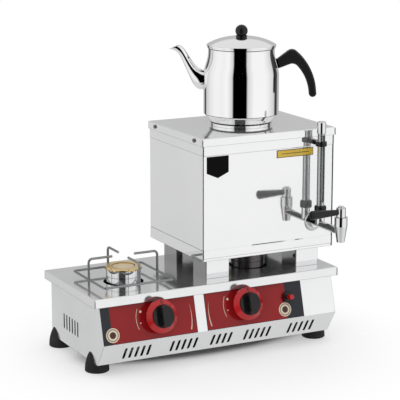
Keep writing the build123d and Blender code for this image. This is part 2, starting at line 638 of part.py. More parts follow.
# Pot stand: a square ring on four bent rods, lifted off the tray by the rods' feet
STAND_ROD = 2.4
STAND_HALF = 74.0
STAND_RING_HEIGHT = 12.0
STAND_TOP = 53.0
STAND_FINGER = 50.0
STAND_BEND = 8.0
STAND_CORNER = 5.0
with BuildPart() as pot_stand:
    ring_z = TRAY_TOP + STAND_RING_HEIGHT
    with BuildLine() as ring_path:
        corners = [(-1, -1), (1, -1), (1, 1), (-1, 1)]
        ring = [(LEFT_BURNER_X + i * STAND_HALF, BURNER_Y + j * STAND_HALF, ring_z) for i, j in corners]
        FilletPolyline(*ring, radius=STAND_CORNER, close=True)
    with BuildSketch(Plane(ring_path.line @ 0, z_dir=ring_path.line % 0)):
        Circle(STAND_ROD)
    sweep(path=ring_path.line)
    for i, j in ((-1, 0), (1, 0), (0, -1), (0, 1)):
        rod_x = LEFT_BURNER_X + i * STAND_HALF
        rod_y = BURNER_Y + j * STAND_HALF
        foot = (rod_x, rod_y, TRAY_TOP)
        bend = (rod_x, rod_y, TRAY_TOP + STAND_TOP)
        tip = (rod_x - i * STAND_FINGER, rod_y - j * STAND_FINGER, TRAY_TOP + STAND_TOP)
        with BuildLine() as rod_path:
            FilletPolyline(foot, bend, tip, radius=STAND_BEND)
        with BuildSketch(Plane(foot, z_dir=(0, 0, 1))):
            Circle(STAND_ROD)
        sweep(path=rod_path.line)
save(pot_stand, "pot_stand")

# Boiler shell: side wrap, front panel, floor, lid and four folded legs
PANEL_SEAM = 1.6
PANEL_RETURN = 12.0
BAND_STEP = 0.8
SIDE_STEP = 0.5
TOP_BAND = 34.0
BOTTOM_BAND = 23.0
BOTTOM_LIP = 5.0
FLAME_RADIUS = 80.0
LID_RIM = 15.5
LID_LAP = SHEET_BEND + PRESS_GAP
LEG_WIDTH = 52.5
LEG_DEPTH = 57.5
LEG_SIDE_INSET = 19.5
LEG_FRONT_INSET = 22.75
SCREW_INSET = 30.25
SCREW_DROP = 7.5
SCREW_RADIUS = 2.0
SCREW_HEAD = 4.2
SCREW_HEAD_THICK = 3.2
SCREW_ROUND = 2.2
SCREW_LENGTH = 8.0
LEG_SPAN_X = BOILER_WIDTH - LEG_WIDTH - 2 * LEG_SIDE_INSET
LEG_SPAN_Y = BOILER_DEPTH - LEG_DEPTH - 2 * LEG_FRONT_INSET
SCREW_SPAN = BOILER_DEPTH - 2 * SCREW_INSET
with BuildPart() as boiler_wrap:
    with BuildSketch(Plane.XY.offset(BOILER_BOTTOM)):
        with Locations((BOILER_X, BOILER_BACK)):
            Rectangle(BOILER_WIDTH, BOILER_DEPTH, align=(Align.CENTER, Align.MAX))
        with Locations((BOILER_X, BOILER_BACK - SHEET)):
            inside = (BOILER_WIDTH - 2 * SHEET, BOILER_DEPTH)
            Rectangle(*inside, align=(Align.CENTER, Align.MAX), mode=Mode.SUBTRACT)
    extrude(amount=LID_UNDER - BOILER_BOTTOM)
    with BuildSketch(Plane.XY.offset(BOILER_BOTTOM + BOTTOM_BAND)):
        with Locations((BOILER_X, BOILER_Y)):
            with GridLocations(BOILER_WIDTH, BOILER_DEPTH, 2, 1):
                Rectangle(2 * SIDE_STEP, BOILER_DEPTH)
    extrude(amount=BOILER_HEIGHT - TOP_BAND - BOTTOM_BAND, mode=Mode.SUBTRACT)
    with BuildSketch(Plane.YZ.offset(BOILER_X)):
        with Locations((BOILER_Y, BOILER_TOP - SCREW_DROP)):
            with GridLocations(SCREW_SPAN, SCREW_SPAN, 2, 1):
                Circle(SCREW_RADIUS + PRESS_GAP)
    extrude(amount=BOILER_WIDTH, both=True, mode=Mode.SUBTRACT)
save(boiler_wrap, "boiler_wrap")


def front_outline(back):
    """Side outline of the boiler's front: bands at top and bottom stand out from the field."""
    field = BOILER_FRONT + BAND_STEP
    return [
        (back, LID_UNDER),
        (BOILER_FRONT, LID_UNDER),
        (BOILER_FRONT, BOILER_TOP - TOP_BAND),
        (field, BOILER_TOP - TOP_BAND - 2 * BAND_STEP),
        (field, BOILER_BOTTOM + BOTTOM_BAND),
        (BOILER_FRONT, BOILER_BOTTOM + BOTTOM_BAND - 2 * BAND_STEP),
        (BOILER_FRONT, BOILER_BOTTOM + BOTTOM_LIP + BAND_STEP),
        (field, BOILER_BOTTOM + BOTTOM_LIP),
        (field, BOILER_BOTTOM),
        (back, BOILER_BOTTOM),
    ]


SHANK_RADIUS = 8.0
with BuildPart() as boiler_front:
    with BuildSketch(Plane.YZ.offset(BOILER_X)):
        Polygon(*front_outline(BOILER_FRONT + PANEL_RETURN), align=None)
    extrude(amount=BOILER_WIDTH / 2 - SHEET - PANEL_SEAM, both=True)
    with BuildSketch(Plane.YZ.offset(BOILER_X)):
        Polygon(*front_outline(BOILER_FRONT + PANEL_RETURN + OVERRUN), align=None)
        offset(amount=-SHEET, kind=Kind.INTERSECTION)
    extrude(amount=BOILER_WIDTH / 2, both=True, mode=Mode.SUBTRACT)
    with BuildSketch(Plane.XZ.offset(-BOILER_FRONT)):
        with Locations((TAP_X, TAP_Z)):
            Circle(SHANK_RADIUS + PRESS_GAP)
    extrude(amount=OVERRUN, both=True, mode=Mode.SUBTRACT)
save(boiler_front, "boiler_front")

FLOOR_FRONT = BOILER_FRONT + PANEL_RETURN
with BuildPart() as boiler_floor:
    with BuildSketch(Plane.XY.offset(BOILER_BOTTOM)):
        with Locations((BOILER_X, FLOOR_FRONT)):
            floor_depth = BOILER_BACK - SHEET - FLOOR_FRONT
            Rectangle(BOILER_WIDTH - 2 * SHEET, floor_depth, align=(Align.CENTER, Align.MIN))
        with Locations((BOILER_X, BOILER_Y)):
            Circle(FLAME_RADIUS, mode=Mode.SUBTRACT)
    extrude(amount=SHEET)
save(boiler_floor, "boiler_floor")

with BuildPart() as boiler_legs:
    with BuildSketch(Plane.XY.offset(TRAY_TOP)):
        with Locations((BOILER_X, BOILER_Y)):
            with GridLocations(LEG_SPAN_X, LEG_SPAN_Y, 2, 2):
                RectangleRounded(LEG_WIDTH, LEG_DEPTH, SHEET_BEND)
                inside = (LEG_WIDTH - 2 * SHEET, LEG_DEPTH - 2 * SHEET, SHEET_BEND - SHEET)
                RectangleRounded(*inside, mode=Mode.SUBTRACT)
    extrude(amount=BOILER_BOTTOM - TRAY_TOP)
save(boiler_legs, "boiler_legs")

# Water tank inside the shell, with a neck up to the lid's mouth
TANK_SIDE_GAP = 13.5
TANK_FRONT_GAP = 14.75
TANK_HEADROOM = 15.0
TANK_WALL = 1.0
TANK_CORNER = 10.0
TANK_WIDTH = BOILER_WIDTH - 2 * TANK_SIDE_GAP
TANK_DEPTH = BOILER_DEPTH - 2 * TANK_FRONT_GAP
TANK_TOP = BOILER_TOP - TANK_HEADROOM
TANK_BOTTOM = BOILER_BOTTOM + SHEET
TANK_FRONT = BOILER_Y - TANK_DEPTH / 2
with BuildPart() as water_tank:
    with BuildSketch(Plane.XY.offset(TANK_BOTTOM)):
        with Locations((BOILER_X, BOILER_Y)):
            RectangleRounded(TANK_WIDTH, TANK_DEPTH, TANK_CORNER)
    extrude(amount=TANK_TOP - TANK_BOTTOM)
    with BuildSketch(Plane.XY.offset(TANK_TOP)):
        with Locations((BOILER_X, BOILER_Y)):
            Circle(MOUTH_RADIUS + TANK_WALL)
    extrude(amount=LID_UNDER - TANK_TOP)
    with BuildSketch(Plane.XY.offset(TANK_BOTTOM + TANK_WALL)):
        with Locations((BOILER_X, BOILER_Y)):
            inside = (TANK_WIDTH - 2 * TANK_WALL, TANK_DEPTH - 2 * TANK_WALL, TANK_CORNER - TANK_WALL)
            RectangleRounded(*inside)
    extrude(amount=TANK_TOP - TANK_BOTTOM - 2 * TANK_WALL, mode=Mode.SUBTRACT)
    with BuildSketch(Plane.XY.offset(TANK_TOP - 2 * TANK_WALL)):
        with Locations((BOILER_X, BOILER_Y)):
            Circle(MOUTH_RADIUS)
    extrude(amount=LID_UNDER, mode=Mode.SUBTRACT)
    with BuildSketch(Plane.XZ.offset(-TANK_FRONT)):
        with Locations((TAP_X, TAP_Z)):
            Circle(SHANK_RADIUS + PRESS_GAP)
    extrude(amount=OVERRUN, both=True, mode=Mode.SUBTRACT)
save(water_tank, "water_tank")

# Boiler lid: a folded pan over the shell, open at its corners, with a round mouth under the teapot
with BuildPart() as boiler_lid:
    with BuildSketch(Plane.XY.offset(BOILER_TOP - LID_RIM)):
        with Locations((BOILER_X, BOILER_Y)):
            Rectangle(BOILER_WIDTH + 2 * LID_LAP, BOILER_DEPTH + 2 * LID_LAP)
    extrude(amount=LID_RIM)
    fillet(boiler_lid.edges().group_by(Axis.Z)[-1], SHEET_BEND)
    offset(amount=-SHEET, openings=boiler_lid.faces().sort_by(Axis.Z)[0])
    with BuildSketch(Plane.XY.offset(BOILER_TOP)):
        with Locations((BOILER_X, BOILER_Y)):
            Circle(MOUTH_RADIUS)
    extrude(amount=OVERRUN, both=True, mode=Mode.SUBTRACT)
    with BuildSketch(Plane.XY.offset(BOILER_TOP - LID_RIM)):
        with Locations((BOILER_X, BOILER_Y)):
            slit_span = BOILER_WIDTH + 2 * (LID_LAP - SHEET) - CORNER_SLIT
            with GridLocations(slit_span, BOILER_DEPTH + 2 * LID_LAP, 2, 2):
                Rectangle(CORNER_SLIT, 2 * SHEET_BEND)
    extrude(amount=LID_RIM - SHEET_BEND, mode=Mode.SUBTRACT)
    with BuildSketch(Plane.YZ.offset(BOILER_X)):
        with Locations((BOILER_Y, BOILER_TOP - SCREW_DROP)):
            with GridLocations(SCREW_SPAN, SCREW_SPAN, 2, 1):
                Circle(SCREW_RADIUS + PRESS_GAP)
    extrude(amount=BOILER_WIDTH, both=True, mode=Mode.SUBTRACT)
save(boiler_lid, "boiler_lid")

with BuildPart() as lid_screws:
    for sign, outer in ((-1, 0), (1, -1)):
        lid_side = BOILER_X + sign * (BOILER_WIDTH / 2 + LID_LAP)
        with BuildSketch(Plane.YZ.offset(lid_side)):
            with Locations((BOILER_Y, BOILER_TOP - SCREW_DROP)):
                with GridLocations(SCREW_SPAN, SCREW_SPAN, 2, 1):
                    Circle(SCREW_HEAD)
        extrude(amount=sign * SCREW_HEAD_THICK)
        fillet(lid_screws.edges().group_by(Axis.X)[outer], SCREW_ROUND)
        with BuildSketch(Plane.YZ.offset(lid_side)):
            with Locations((BOILER_Y, BOILER_TOP - SCREW_DROP)):
                with GridLocations(SCREW_SPAN, SCREW_SPAN, 2, 1):
                    Circle(SCREW_RADIUS)
        extrude(amount=-sign * SCREW_LENGTH)
save(lid_screws, "lid_screws")

# Tap: a shank through panel and tank, an arm, and a nozzle that holds the turning plug
ESCUTCHEON_RADIUS = 20.0
ESCUTCHEON = 3.0
ESCUTCHEON_TAPER = 30
SEAL_RADIUS = 14.0
SEAL = 2.0
BACK_NUT_RADIUS = 14.0
BACK_NUT = 6.0
SHANK_PAST = 4.0
COLLAR_HEX = 12.0
COLLAR_HEX_LENGTH = 9.0
ARM_RADIUS = 7.5
ARM_BORE = 4.0
TEE_RADIUS = 9.0
TEE_RISE = 23.8
TEE_BORE = 3.0
NOZZLE_RISE = 30.0
WAIST_RISE = 12.0
NOZZLE_DROP = 20.0
NOZZLE_TOP_RADIUS = 13.0
NOZZLE_TIP_RADIUS = 8.0
SPOUT_BORE = 5.0
SOCKET_RADIUS = 9.0
SOCKET_DROP = 7.0
TEE_TOP = TAP_Z + TEE_RISE
NOZZLE_TOP = TAP_Z + NOZZLE_RISE
NOZZLE_WAIST = TAP_Z + WAIST_RISE
NOZZLE_BOTTOM = TAP_Z - NOZZLE_DROP
SOCKET_FLOOR = TAP_Z - SOCKET_DROP
NOZZLE_Y = BOILER_FRONT - TAP_REACH
FIELD_FRONT = BOILER_FRONT + BAND_STEP
SHANK_BACK = TANK_FRONT + TANK_WALL + SEAL + BACK_NUT + SHANK_PAST
COLLAR_BACK = FIELD_FRONT - ESCUTCHEON


def tap_plane(y):
    """Upright plane across the tap's arm, facing the user."""
    return Plane((TAP_X, y, TAP_Z), (1, 0, 0), (0, -1, 0))


with BuildPart() as tap_flange:
    with BuildSketch(tap_plane(FIELD_FRONT)):
        Circle(ESCUTCHEON_RADIUS)
    extrude(amount=ESCUTCHEON, taper=ESCUTCHEON_TAPER)
    with BuildSketch(tap_plane(FIELD_FRONT)):
        Circle(SHANK_RADIUS + PRESS_GAP)
    extrude(amount=ESCUTCHEON, mode=Mode.SUBTRACT)
save(tap_flange, "tap_flange")

with BuildPart() as tap_seal:
    with BuildSketch(tap_plane(TANK_FRONT + TANK_WALL)):
        Circle(SEAL_RADIUS)
        Circle(SHANK_RADIUS + PRESS_GAP, mode=Mode.SUBTRACT)
    extrude(amount=-SEAL)
save(tap_seal, "tap_seal")

with BuildPart() as tap_back_nut:
    with BuildSketch(tap_plane(TANK_FRONT + TANK_WALL + SEAL)):
        RegularPolygon(BACK_NUT_RADIUS, 6)
        Circle(SHANK_RADIUS + PRESS_GAP, mode=Mode.SUBTRACT)
    extrude(amount=-BACK_NUT)
save(tap_back_nut, "tap_back_nut")

nozzle_axis = Axis((TAP_X, NOZZLE_Y, 0), (0, 0, 1))
nozzle_section = Plane((TAP_X, NOZZLE_Y, 0), (1, 0, 0), (0, -1, 0))
GAUGE_Y = BOILER_FRONT - GAUGE_REACH
with BuildPart() as tap_body:
    with BuildSketch(tap_plane(SHANK_BACK)):
        Circle(SHANK_RADIUS)
    extrude(amount=SHANK_BACK - COLLAR_BACK)
    with BuildSketch(tap_plane(COLLAR_BACK)):
        RegularPolygon(COLLAR_HEX, 6)
    extrude(amount=COLLAR_HEX_LENGTH)
    with BuildSketch(tap_plane(COLLAR_BACK)):
        Circle(ARM_RADIUS)
    extrude(amount=COLLAR_BACK - NOZZLE_Y)
    with BuildSketch(Plane.XY.offset(TAP_Z)):
        with Locations((TAP_X, GAUGE_Y)):
            Circle(TEE_RADIUS)
    extrude(amount=TEE_TOP - TAP_Z)
    with BuildSketch(nozzle_section):
        Polygon(
            (0, NOZZLE_BOTTOM),
            (NOZZLE_TIP_RADIUS, NOZZLE_BOTTOM),
            (NOZZLE_TOP_RADIUS, NOZZLE_WAIST),
            (NOZZLE_TOP_RADIUS, NOZZLE_TOP),
            (0, NOZZLE_TOP),
            align=None,
        )
    revolve(axis=nozzle_axis)
    with BuildSketch(tap_plane(SHANK_BACK)):
        Circle(ARM_BORE)
    extrude(amount=SHANK_BACK - NOZZLE_Y, mode=Mode.SUBTRACT)
    with BuildSketch(Plane.XY.offset(TAP_Z)):
        with Locations((TAP_X, GAUGE_Y)):
            Circle(TEE_BORE)
    extrude(amount=TEE_TOP - TAP_Z, mode=Mode.SUBTRACT)
    with BuildSketch(nozzle_section):
        Polygon(
            (0, NOZZLE_BOTTOM),
            (SPOUT_BORE, NOZZLE_BOTTOM),
            (SPOUT_BORE, SOCKET_FLOOR),
            (SOCKET_RADIUS, SOCKET_FLOOR),
            (SOCKET_RADIUS, NOZZLE_TOP),
            (0, NOZZLE_TOP),
            align=None,
        )
    revolve(axis=nozzle_axis, mode=Mode.SUBTRACT)
save(tap_body, "tap_body")

# Turning part of the tap: plug with hub, black lever and the screw on top
HUB_RADIUS = 9.5
HUB_HEIGHT = 18.7
HUB_EDGE = 1.2
LEVER_RISE = 9.7
LEVER_LENGTH = 69.0
LEVER_ROOT = 5.0
LEVER_END = 9.3
LEVER_ROUND = 4.0
CROWN_RADIUS = 5.5
CROWN = 3.0
PLUG_BORE = 3.6
HUB_BOTTOM = NOZZLE_TOP + LIFT_GAP
HUB_TOP = HUB_BOTTOM + HUB_HEIGHT
LEVER_Z = HUB_BOTTOM + LEVER_RISE
with BuildPart() as tap_plug:
    with BuildSketch(nozzle_section):
        Polygon(
            (0, SOCKET_FLOOR + LIFT_GAP),
            (SOCKET_RADIUS - RUNNING_GAP, SOCKET_FLOOR + LIFT_GAP),
            (SOCKET_RADIUS - RUNNING_GAP, HUB_BOTTOM),
            (HUB_RADIUS, HUB_BOTTOM),
            (HUB_RADIUS, HUB_TOP - HUB_EDGE),
            (HUB_RADIUS - HUB_EDGE, HUB_TOP),
            (0, HUB_TOP),
            align=None,
        )
    revolve(axis=nozzle_axis)
    with BuildSketch(Plane((TAP_X - SOCKET_RADIUS, NOZZLE_Y, TAP_Z), (0, 1, 0), (1, 0, 0))):
        Circle(PLUG_BORE)
    extrude(amount=SOCKET_RADIUS, mode=Mode.SUBTRACT)
    with BuildSketch(Plane.XY.offset(TAP_Z)):
        with Locations((TAP_X, NOZZLE_Y)):
            Circle(PLUG_BORE)
    extrude(amount=NOZZLE_BOTTOM - TAP_Z, mode=Mode.SUBTRACT)
save(tap_plug, "tap_plug")

with BuildPart() as tap_lever:
    with BuildSketch(Plane((TAP_X, NOZZLE_Y, LEVER_Z), (-1, 0, 0), (0, 1, 0))):
        Polygon((0, 0), (0, LEVER_ROOT), (LEVER_LENGTH, LEVER_END), (LEVER_LENGTH, 0), align=None)
    revolve(axis=Axis((TAP_X, NOZZLE_Y, LEVER_Z), (1, 0, 0)))
    fillet(tap_lever.edges().group_by(Axis.X)[0], LEVER_ROUND)
    with BuildSketch(Plane.XY.offset(HUB_BOTTOM)):
        with Locations((TAP_X, NOZZLE_Y)):
            Circle(HUB_RADIUS + PRESS_GAP)
    extrude(amount=HUB_TOP - HUB_BOTTOM, mode=Mode.SUBTRACT)
save(tap_lever, "tap_lever")

with BuildPart() as tap_crown:
    with BuildSketch(Plane.XY.offset(HUB_TOP)):
        with Locations((TAP_X, NOZZLE_Y)):
            Circle(CROWN_RADIUS)
    extrude(amount=CROWN)
    fillet(tap_crown.edges().group_by(Axis.Z)[-1], HUB_EDGE)
save(tap_crown, "tap_crown")

# Level gauge: a glass tube in a slotted guard, between a black nut and a capped top
GLASS_RADIUS = 5.0
GLASS_WALL = 1.2
GUARD_RADIUS = 7.6
GUARD_WALL = 1.0
GUARD_PAST = 1.0
GUARD_SLOT = 7.0
SLOT_FOOT = 6.8
SLOT_HEAD = 3.5
GAUGE_NUT_RADIUS = 12.0
GAUGE_NUT_HEIGHT = 14.4
GAUGE_NUT_FLOOR = 4.5
GAUGE_NUT_ROUND = 3.5
GAUGE_CAP_LAP = 5.5
GAUGE_CAP_HEIGHT = 23.1
GAUGE_CAP_RADIUS = 9.0
GAUGE_CAP_ROUND = 3.0
CLIP_RADIUS = 11.0
CLIP_HEIGHT = 9.0
CLIP_DROP = 26.0
CLIP_ARM = 8.0
GUARD_BOTTOM = TEE_TOP + GAUGE_NUT_FLOOR
GUARD_TOP = BOILER_TOP + GUARD_PAST
GAUGE_NUT_TOP = TEE_TOP + GAUGE_NUT_HEIGHT
CAP_BOTTOM = GUARD_TOP - GAUGE_CAP_LAP
CAP_TOP = CAP_BOTTOM + GAUGE_CAP_HEIGHT
SLOT_BOTTOM = GAUGE_NUT_TOP + SLOT_FOOT
SLOT_TOP = CAP_BOTTOM - SLOT_HEAD
CLIP_Z = BOILER_TOP - CLIP_DROP


def gauge_plane(height):
    """Level plane across the gauge's axis."""
    return Plane((TAP_X, GAUGE_Y, height))


with BuildPart() as gauge_nut:
    with BuildSketch(gauge_plane(TEE_TOP)):
        Circle(GAUGE_NUT_RADIUS)
    extrude(amount=GAUGE_NUT_TOP - TEE_TOP)
    fillet(gauge_nut.edges().group_by(Axis.Z)[-1], GAUGE_NUT_ROUND)
    with BuildSketch(gauge_plane(TEE_TOP)):
        Circle(GLASS_RADIUS + PRESS_GAP)
    extrude(amount=GAUGE_NUT_FLOOR, mode=Mode.SUBTRACT)
    with BuildSketch(gauge_plane(GUARD_BOTTOM)):
        Circle(GUARD_RADIUS + PRESS_GAP)
    extrude(amount=GAUGE_NUT_TOP - TEE_TOP, mode=Mode.SUBTRACT)
save(gauge_nut, "gauge_nut")

with BuildPart() as gauge_glass:
    with BuildSketch(gauge_plane(TEE_TOP)):
        Circle(GLASS_RADIUS)
        Circle(GLASS_RADIUS - GLASS_WALL, mode=Mode.SUBTRACT)
    extrude(amount=GUARD_TOP - TEE_TOP)
save(gauge_glass, "gauge_glass")

with BuildPart() as gauge_guard:
    with BuildSketch(gauge_plane(GUARD_BOTTOM)):
        Circle(GUARD_RADIUS)
        Circle(GUARD_RADIUS - GUARD_WALL, mode=Mode.SUBTRACT)
    extrude(amount=GUARD_TOP - GUARD_BOTTOM)
    with BuildSketch(Plane.XZ.offset(-GAUGE_Y)):
        with Locations((TAP_X, (SLOT_BOTTOM + SLOT_TOP) / 2)):
            SlotOverall(SLOT_TOP - SLOT_BOTTOM, GUARD_SLOT, rotation=90)
    extrude(amount=GUARD_RADIUS, mode=Mode.SUBTRACT)
save(gauge_guard, "gauge_guard")

with BuildPart() as gauge_cap:
    with BuildSketch(gauge_plane(CAP_BOTTOM)):
        Circle(GAUGE_CAP_RADIUS)
    extrude(amount=CAP_TOP - CAP_BOTTOM)
    fillet(gauge_cap.edges().group_by(Axis.Z)[-1], GAUGE_CAP_ROUND)
    with BuildSketch(gauge_plane(CAP_BOTTOM)):
        Circle(GUARD_RADIUS + PRESS_GAP)
    extrude(amount=GUARD_TOP - CAP_BOTTOM, mode=Mode.SUBTRACT)
save(gauge_cap, "gauge_cap")

with BuildPart() as gauge_clip:
    with BuildSketch(gauge_plane(CLIP_Z - CLIP_HEIGHT / 2)):
        Circle(CLIP_RADIUS)
        Rectangle(CLIP_ARM, GAUGE_REACH, align=(Align.CENTER, Align.MIN))
        Circle(GUARD_RADIUS + PRESS_GAP, mode=Mode.SUBTRACT)
    extrude(amount=CLIP_HEIGHT)
save(gauge_clip, "gauge_clip")

# Teapot: spun body with a soldered spout, a lug that carries the hook handle, and a loose lid
POT_BASE_SHARE = 0.815
POT_STEP_SHARES = (0.8, 0.845)
POT_NECK_SHARE = 0.88
POT_FLARE_SHARE = 0.148
POT_STEP_HEIGHT_SHARES = (0.035, 0.055)
POT_SHOULDER_SHARES = (0.62, 0.93)
POT_RIM_LIP = 1.8
POT_RIM_HEIGHT = 3.0
POT_NECK = POT_RADIUS * POT_NECK_SHARE
POT_RIM_RADIUS = POT_NECK + POT_RIM_LIP
POT_ORIGIN = Vector(BOILER_X, BOILER_Y, BOILER_TOP)
POT_AXIS = Axis(POT_ORIGIN, (0, 0, 1))
spout_way = Vector(cos(SPOUT_BEARING), sin(SPOUT_BEARING), 0)
SPOUT_SIDE = Plane(POT_ORIGIN, spout_way, spout_way.cross(Vector(0, 0, 1)))
HANDLE_SIDE = Plane(POT_ORIGIN, -spout_way, -spout_way.cross(Vector(0, 0, 1)))


def pot_outline(inset):
    """Half outline of the teapot's body above its base, drawn in by the wall for its inside."""
    wall = POT_RADIUS - inset
    neck = POT_NECK - inset
    shoulder, neck_foot = (POT_RIM * share for share in POT_SHOULDER_SHARES)
    foot = POT_RADIUS * POT_STEP_SHARES[1] - inset
    step = POT_RIM * POT_STEP_HEIGHT_SHARES[1]
    Polyline((0, step), (foot, step), (wall, POT_RIM * POT_FLARE_SHARE), (wall, shoulder))
    Spline((wall, shoulder), (neck, neck_foot), tangents=((0, 1), (0, 1)))
    Polyline((neck, neck_foot), (neck, POT_RIM), (0, POT_RIM), (0, step))


with BuildPart() as pot_solid:
    with BuildSketch(SPOUT_SIDE):
        with BuildLine():
            pot_outline(0)
        make_face()
        low, step = (POT_RIM * share for share in POT_STEP_HEIGHT_SHARES)
        base = POT_RADIUS * POT_BASE_SHARE
        waist, foot = (POT_RADIUS * share for share in POT_STEP_SHARES)
        Polygon((0, 0), (base, 0), (base, low), (waist, low), (foot, step), (0, step), align=None)
    revolve(axis=POT_AXIS)
    with BuildSketch(Plane(POT_ORIGIN).offset(POT_RIM - POT_RIM_HEIGHT)):
        Circle(POT_RIM_RADIUS)
    extrude(amount=POT_RIM_HEIGHT)

with BuildPart() as teapot_body:
    add(pot_solid.part)
    with BuildSketch(SPOUT_SIDE):
        with BuildLine():
            pot_outline(POT_WALL)
        make_face()
        step = POT_RIM * POT_STEP_HEIGHT_SHARES[1]
        well = POT_RADIUS * POT_STEP_SHARES[0] - POT_WALL
        Polygon((0, POT_WALL), (well, POT_WALL), (well, step), (0, step), align=None)
    revolve(axis=POT_AXIS, mode=Mode.SUBTRACT)
save(teapot_body, "teapot_body")

# Spout stations: reach and height as shares of the pot, tilt, then half height and half width as shares
SPOUT_SHARES = (
    (0.9, 0.565, 15, 0.25, 0.2),
    (1.17, 0.615, 32, 0.215, 0.175),
    (1.356, 0.744, 60, 0.125, 0.12),
    (1.463, 0.836, 62, 0.107, 0.105),
    (1.577, 0.927, 54, 0.1, 0.095),
    (1.769, 0.985, 69, 0.142, 0.087),
)
SPOUT_LIFT_SHARE = 0.48


def spout_stations(inset):
    """Plane, half width and half height at each station, drawn in by the wall for the inside."""
    stations = []
    for reach, height, tilt, half_height, half_width in SPOUT_SHARES:
        centre = SPOUT_SIDE.from_local_coords((POT_RADIUS * reach, POT_RIM * height, 0))
        lift = POT_RIM * SPOUT_LIFT_SHARE * sin(radians(tilt))
        way = spout_way * (POT_RADIUS * cos(radians(tilt))) + Vector(0, 0, lift)
        radii = (POT_RADIUS * half_width - inset, POT_RADIUS * half_height - inset)
        stations.append((Plane(centre, SPOUT_SIDE.z_dir, way), radii))
    return stations


with BuildPart() as teapot_spout:
    for station, radii in spout_stations(0):
        with BuildSketch(station):
            Ellipse(*radii)
    loft()
    for station, radii in spout_stations(POT_WALL):
        with BuildSketch(station):
            Ellipse(*radii)
    loft(mode=Mode.SUBTRACT)
    add(pot_solid.part, mode=Mode.SUBTRACT)
save(teapot_spout, "teapot_spout")

# Handle outline in shares of the pot's radius and rim height
HANDLE_THICK = 16.0
HANDLE_EDGE_SHARE = 0.046
HANDLE_BEND_SHARE = 0.185
LUG_THICK = 12.0
HANDLE_ROOT_SHARES = ((0.95, 0.84), (1.01, 0.72))
HANDLE_TOP_SHARES = (1.335, 0.98)
HANDLE_OUTER_SHARES = ((1.75, 0.775), (1.985, 0.415))
HANDLE_TIP_SHARES = ((1.875, 0.35), (1.79, 0.4))
HANDLE_INNER_SHARES = ((1.62, 0.656), (1.385, 0.79))
LUG_SHARES = ((0.8, 0.83), (0.8, 0.73))
HANDLE_EDGE = POT_RADIUS * HANDLE_EDGE_SHARE
HANDLE_BEND = POT_RADIUS * HANDLE_BEND_SHARE


def pot_point(shares):
    """Point beside the pot from shares of its radius and rim height."""
    return (POT_RADIUS * shares[0], POT_RIM * shares[1])


with BuildPart() as teapot_handle:
    with BuildSketch(HANDLE_SIDE) as handle_outline:
        with BuildLine():
            root_top, root_low = (pot_point(shares) for shares in HANDLE_ROOT_SHARES)
            top = pot_point(HANDLE_TOP_SHARES)
            bow, outer_end = (pot_point(shares) for shares in HANDLE_OUTER_SHARES)
            tip, inner_end = (pot_point(shares) for shares in HANDLE_TIP_SHARES)
            hollow, elbow = (pot_point(shares) for shares in HANDLE_INNER_SHARES)
            Line(root_top, top)
            ThreePointArc(top, bow, outer_end)
            ThreePointArc(outer_end, tip, inner_end)
            ThreePointArc(inner_end, hollow, elbow)
            Line(elbow, root_low)
            Line(root_low, root_top)
        make_face()
        for corner in (top, elbow):
            fillet(handle_outline.vertices().sort_by_distance(corner)[0], HANDLE_BEND)
        for corner in (outer_end, inner_end):
            fillet(handle_outline.vertices().sort_by_distance(corner)[0], HANDLE_EDGE)
    extrude(amount=HANDLE_THICK / 2, both=True)
    rims = teapot_handle.faces().filter_by(HANDLE_SIDE).edges()
    fillet(rims.sort_by_distance(HANDLE_SIDE.from_local_coords((0, POT_RIM, 0)))[2:], HANDLE_EDGE)
save(teapot_handle, "teapot_handle")

with BuildPart() as handle_lug:
    with BuildSketch(HANDLE_SIDE):
        lug_back = [pot_point(shares) for shares in LUG_SHARES]
        lug_front = [pot_point(shares) for shares in reversed(HANDLE_ROOT_SHARES)]
        Polygon(*lug_back, *lug_front, align=None)
    extrude(amount=LUG_THICK / 2, both=True)
    with BuildSketch(HANDLE_SIDE):
        with BuildLine():
            pot_outline(-PRESS_GAP)
        make_face()
    revolve(axis=POT_AXIS, mode=Mode.SUBTRACT)
save(handle_lug, "handle_lug")

# Teapot lid: a thin dome with a collar in the neck, and its ball knob
LID_OVERHANG = 1.2
LID_EDGE = 3.0
LID_DOME = 19.0
LID_COLLAR_DEPTH = 9.0
LID_FLAT = 11.5
BALL_RADIUS = 12.5
BALL_RISE = 11.0
BALL_NECK = 6.5
BALL_FOOT = 2.0
DOME_BOW_SHARE = 0.62
DOME_RISE_SHARE = 0.72
LID_RADIUS = POT_RIM_RADIUS + LID_OVERHANG
LID_COLLAR = POT_NECK - POT_WALL - LIFT_GAP
LID_TOP = POT_RIM + LID_DOME
with BuildPart() as teapot_lid:
    with BuildSketch(SPOUT_SIDE):
        with BuildLine():
            edge = POT_RIM + LID_EDGE
            bow = (LID_RADIUS * DOME_BOW_SHARE, edge + (LID_TOP - edge) * DOME_RISE_SHARE)
            Line((0, LID_TOP), (LID_FLAT, LID_TOP))
            ThreePointArc((LID_FLAT, LID_TOP), bow, (LID_RADIUS, edge))
            Polyline((LID_RADIUS, edge), (LID_RADIUS, POT_RIM), (0, POT_RIM), (0, LID_TOP))
        make_face()
    revolve(axis=POT_AXIS)
    offset(amount=-POT_WALL, openings=teapot_lid.faces().sort_by(Axis.Z)[0])
    with BuildSketch(Plane(POT_ORIGIN).offset(POT_RIM)):
        Circle(LID_RADIUS)
        Circle(LID_COLLAR - POT_WALL, mode=Mode.SUBTRACT)
    extrude(amount=POT_WALL)
    with BuildSketch(Plane(POT_ORIGIN).offset(POT_RIM)):
        Circle(LID_COLLAR)
        Circle(LID_COLLAR - POT_WALL, mode=Mode.SUBTRACT)
    extrude(amount=-LID_COLLAR_DEPTH)
save(teapot_lid, "teapot_lid")

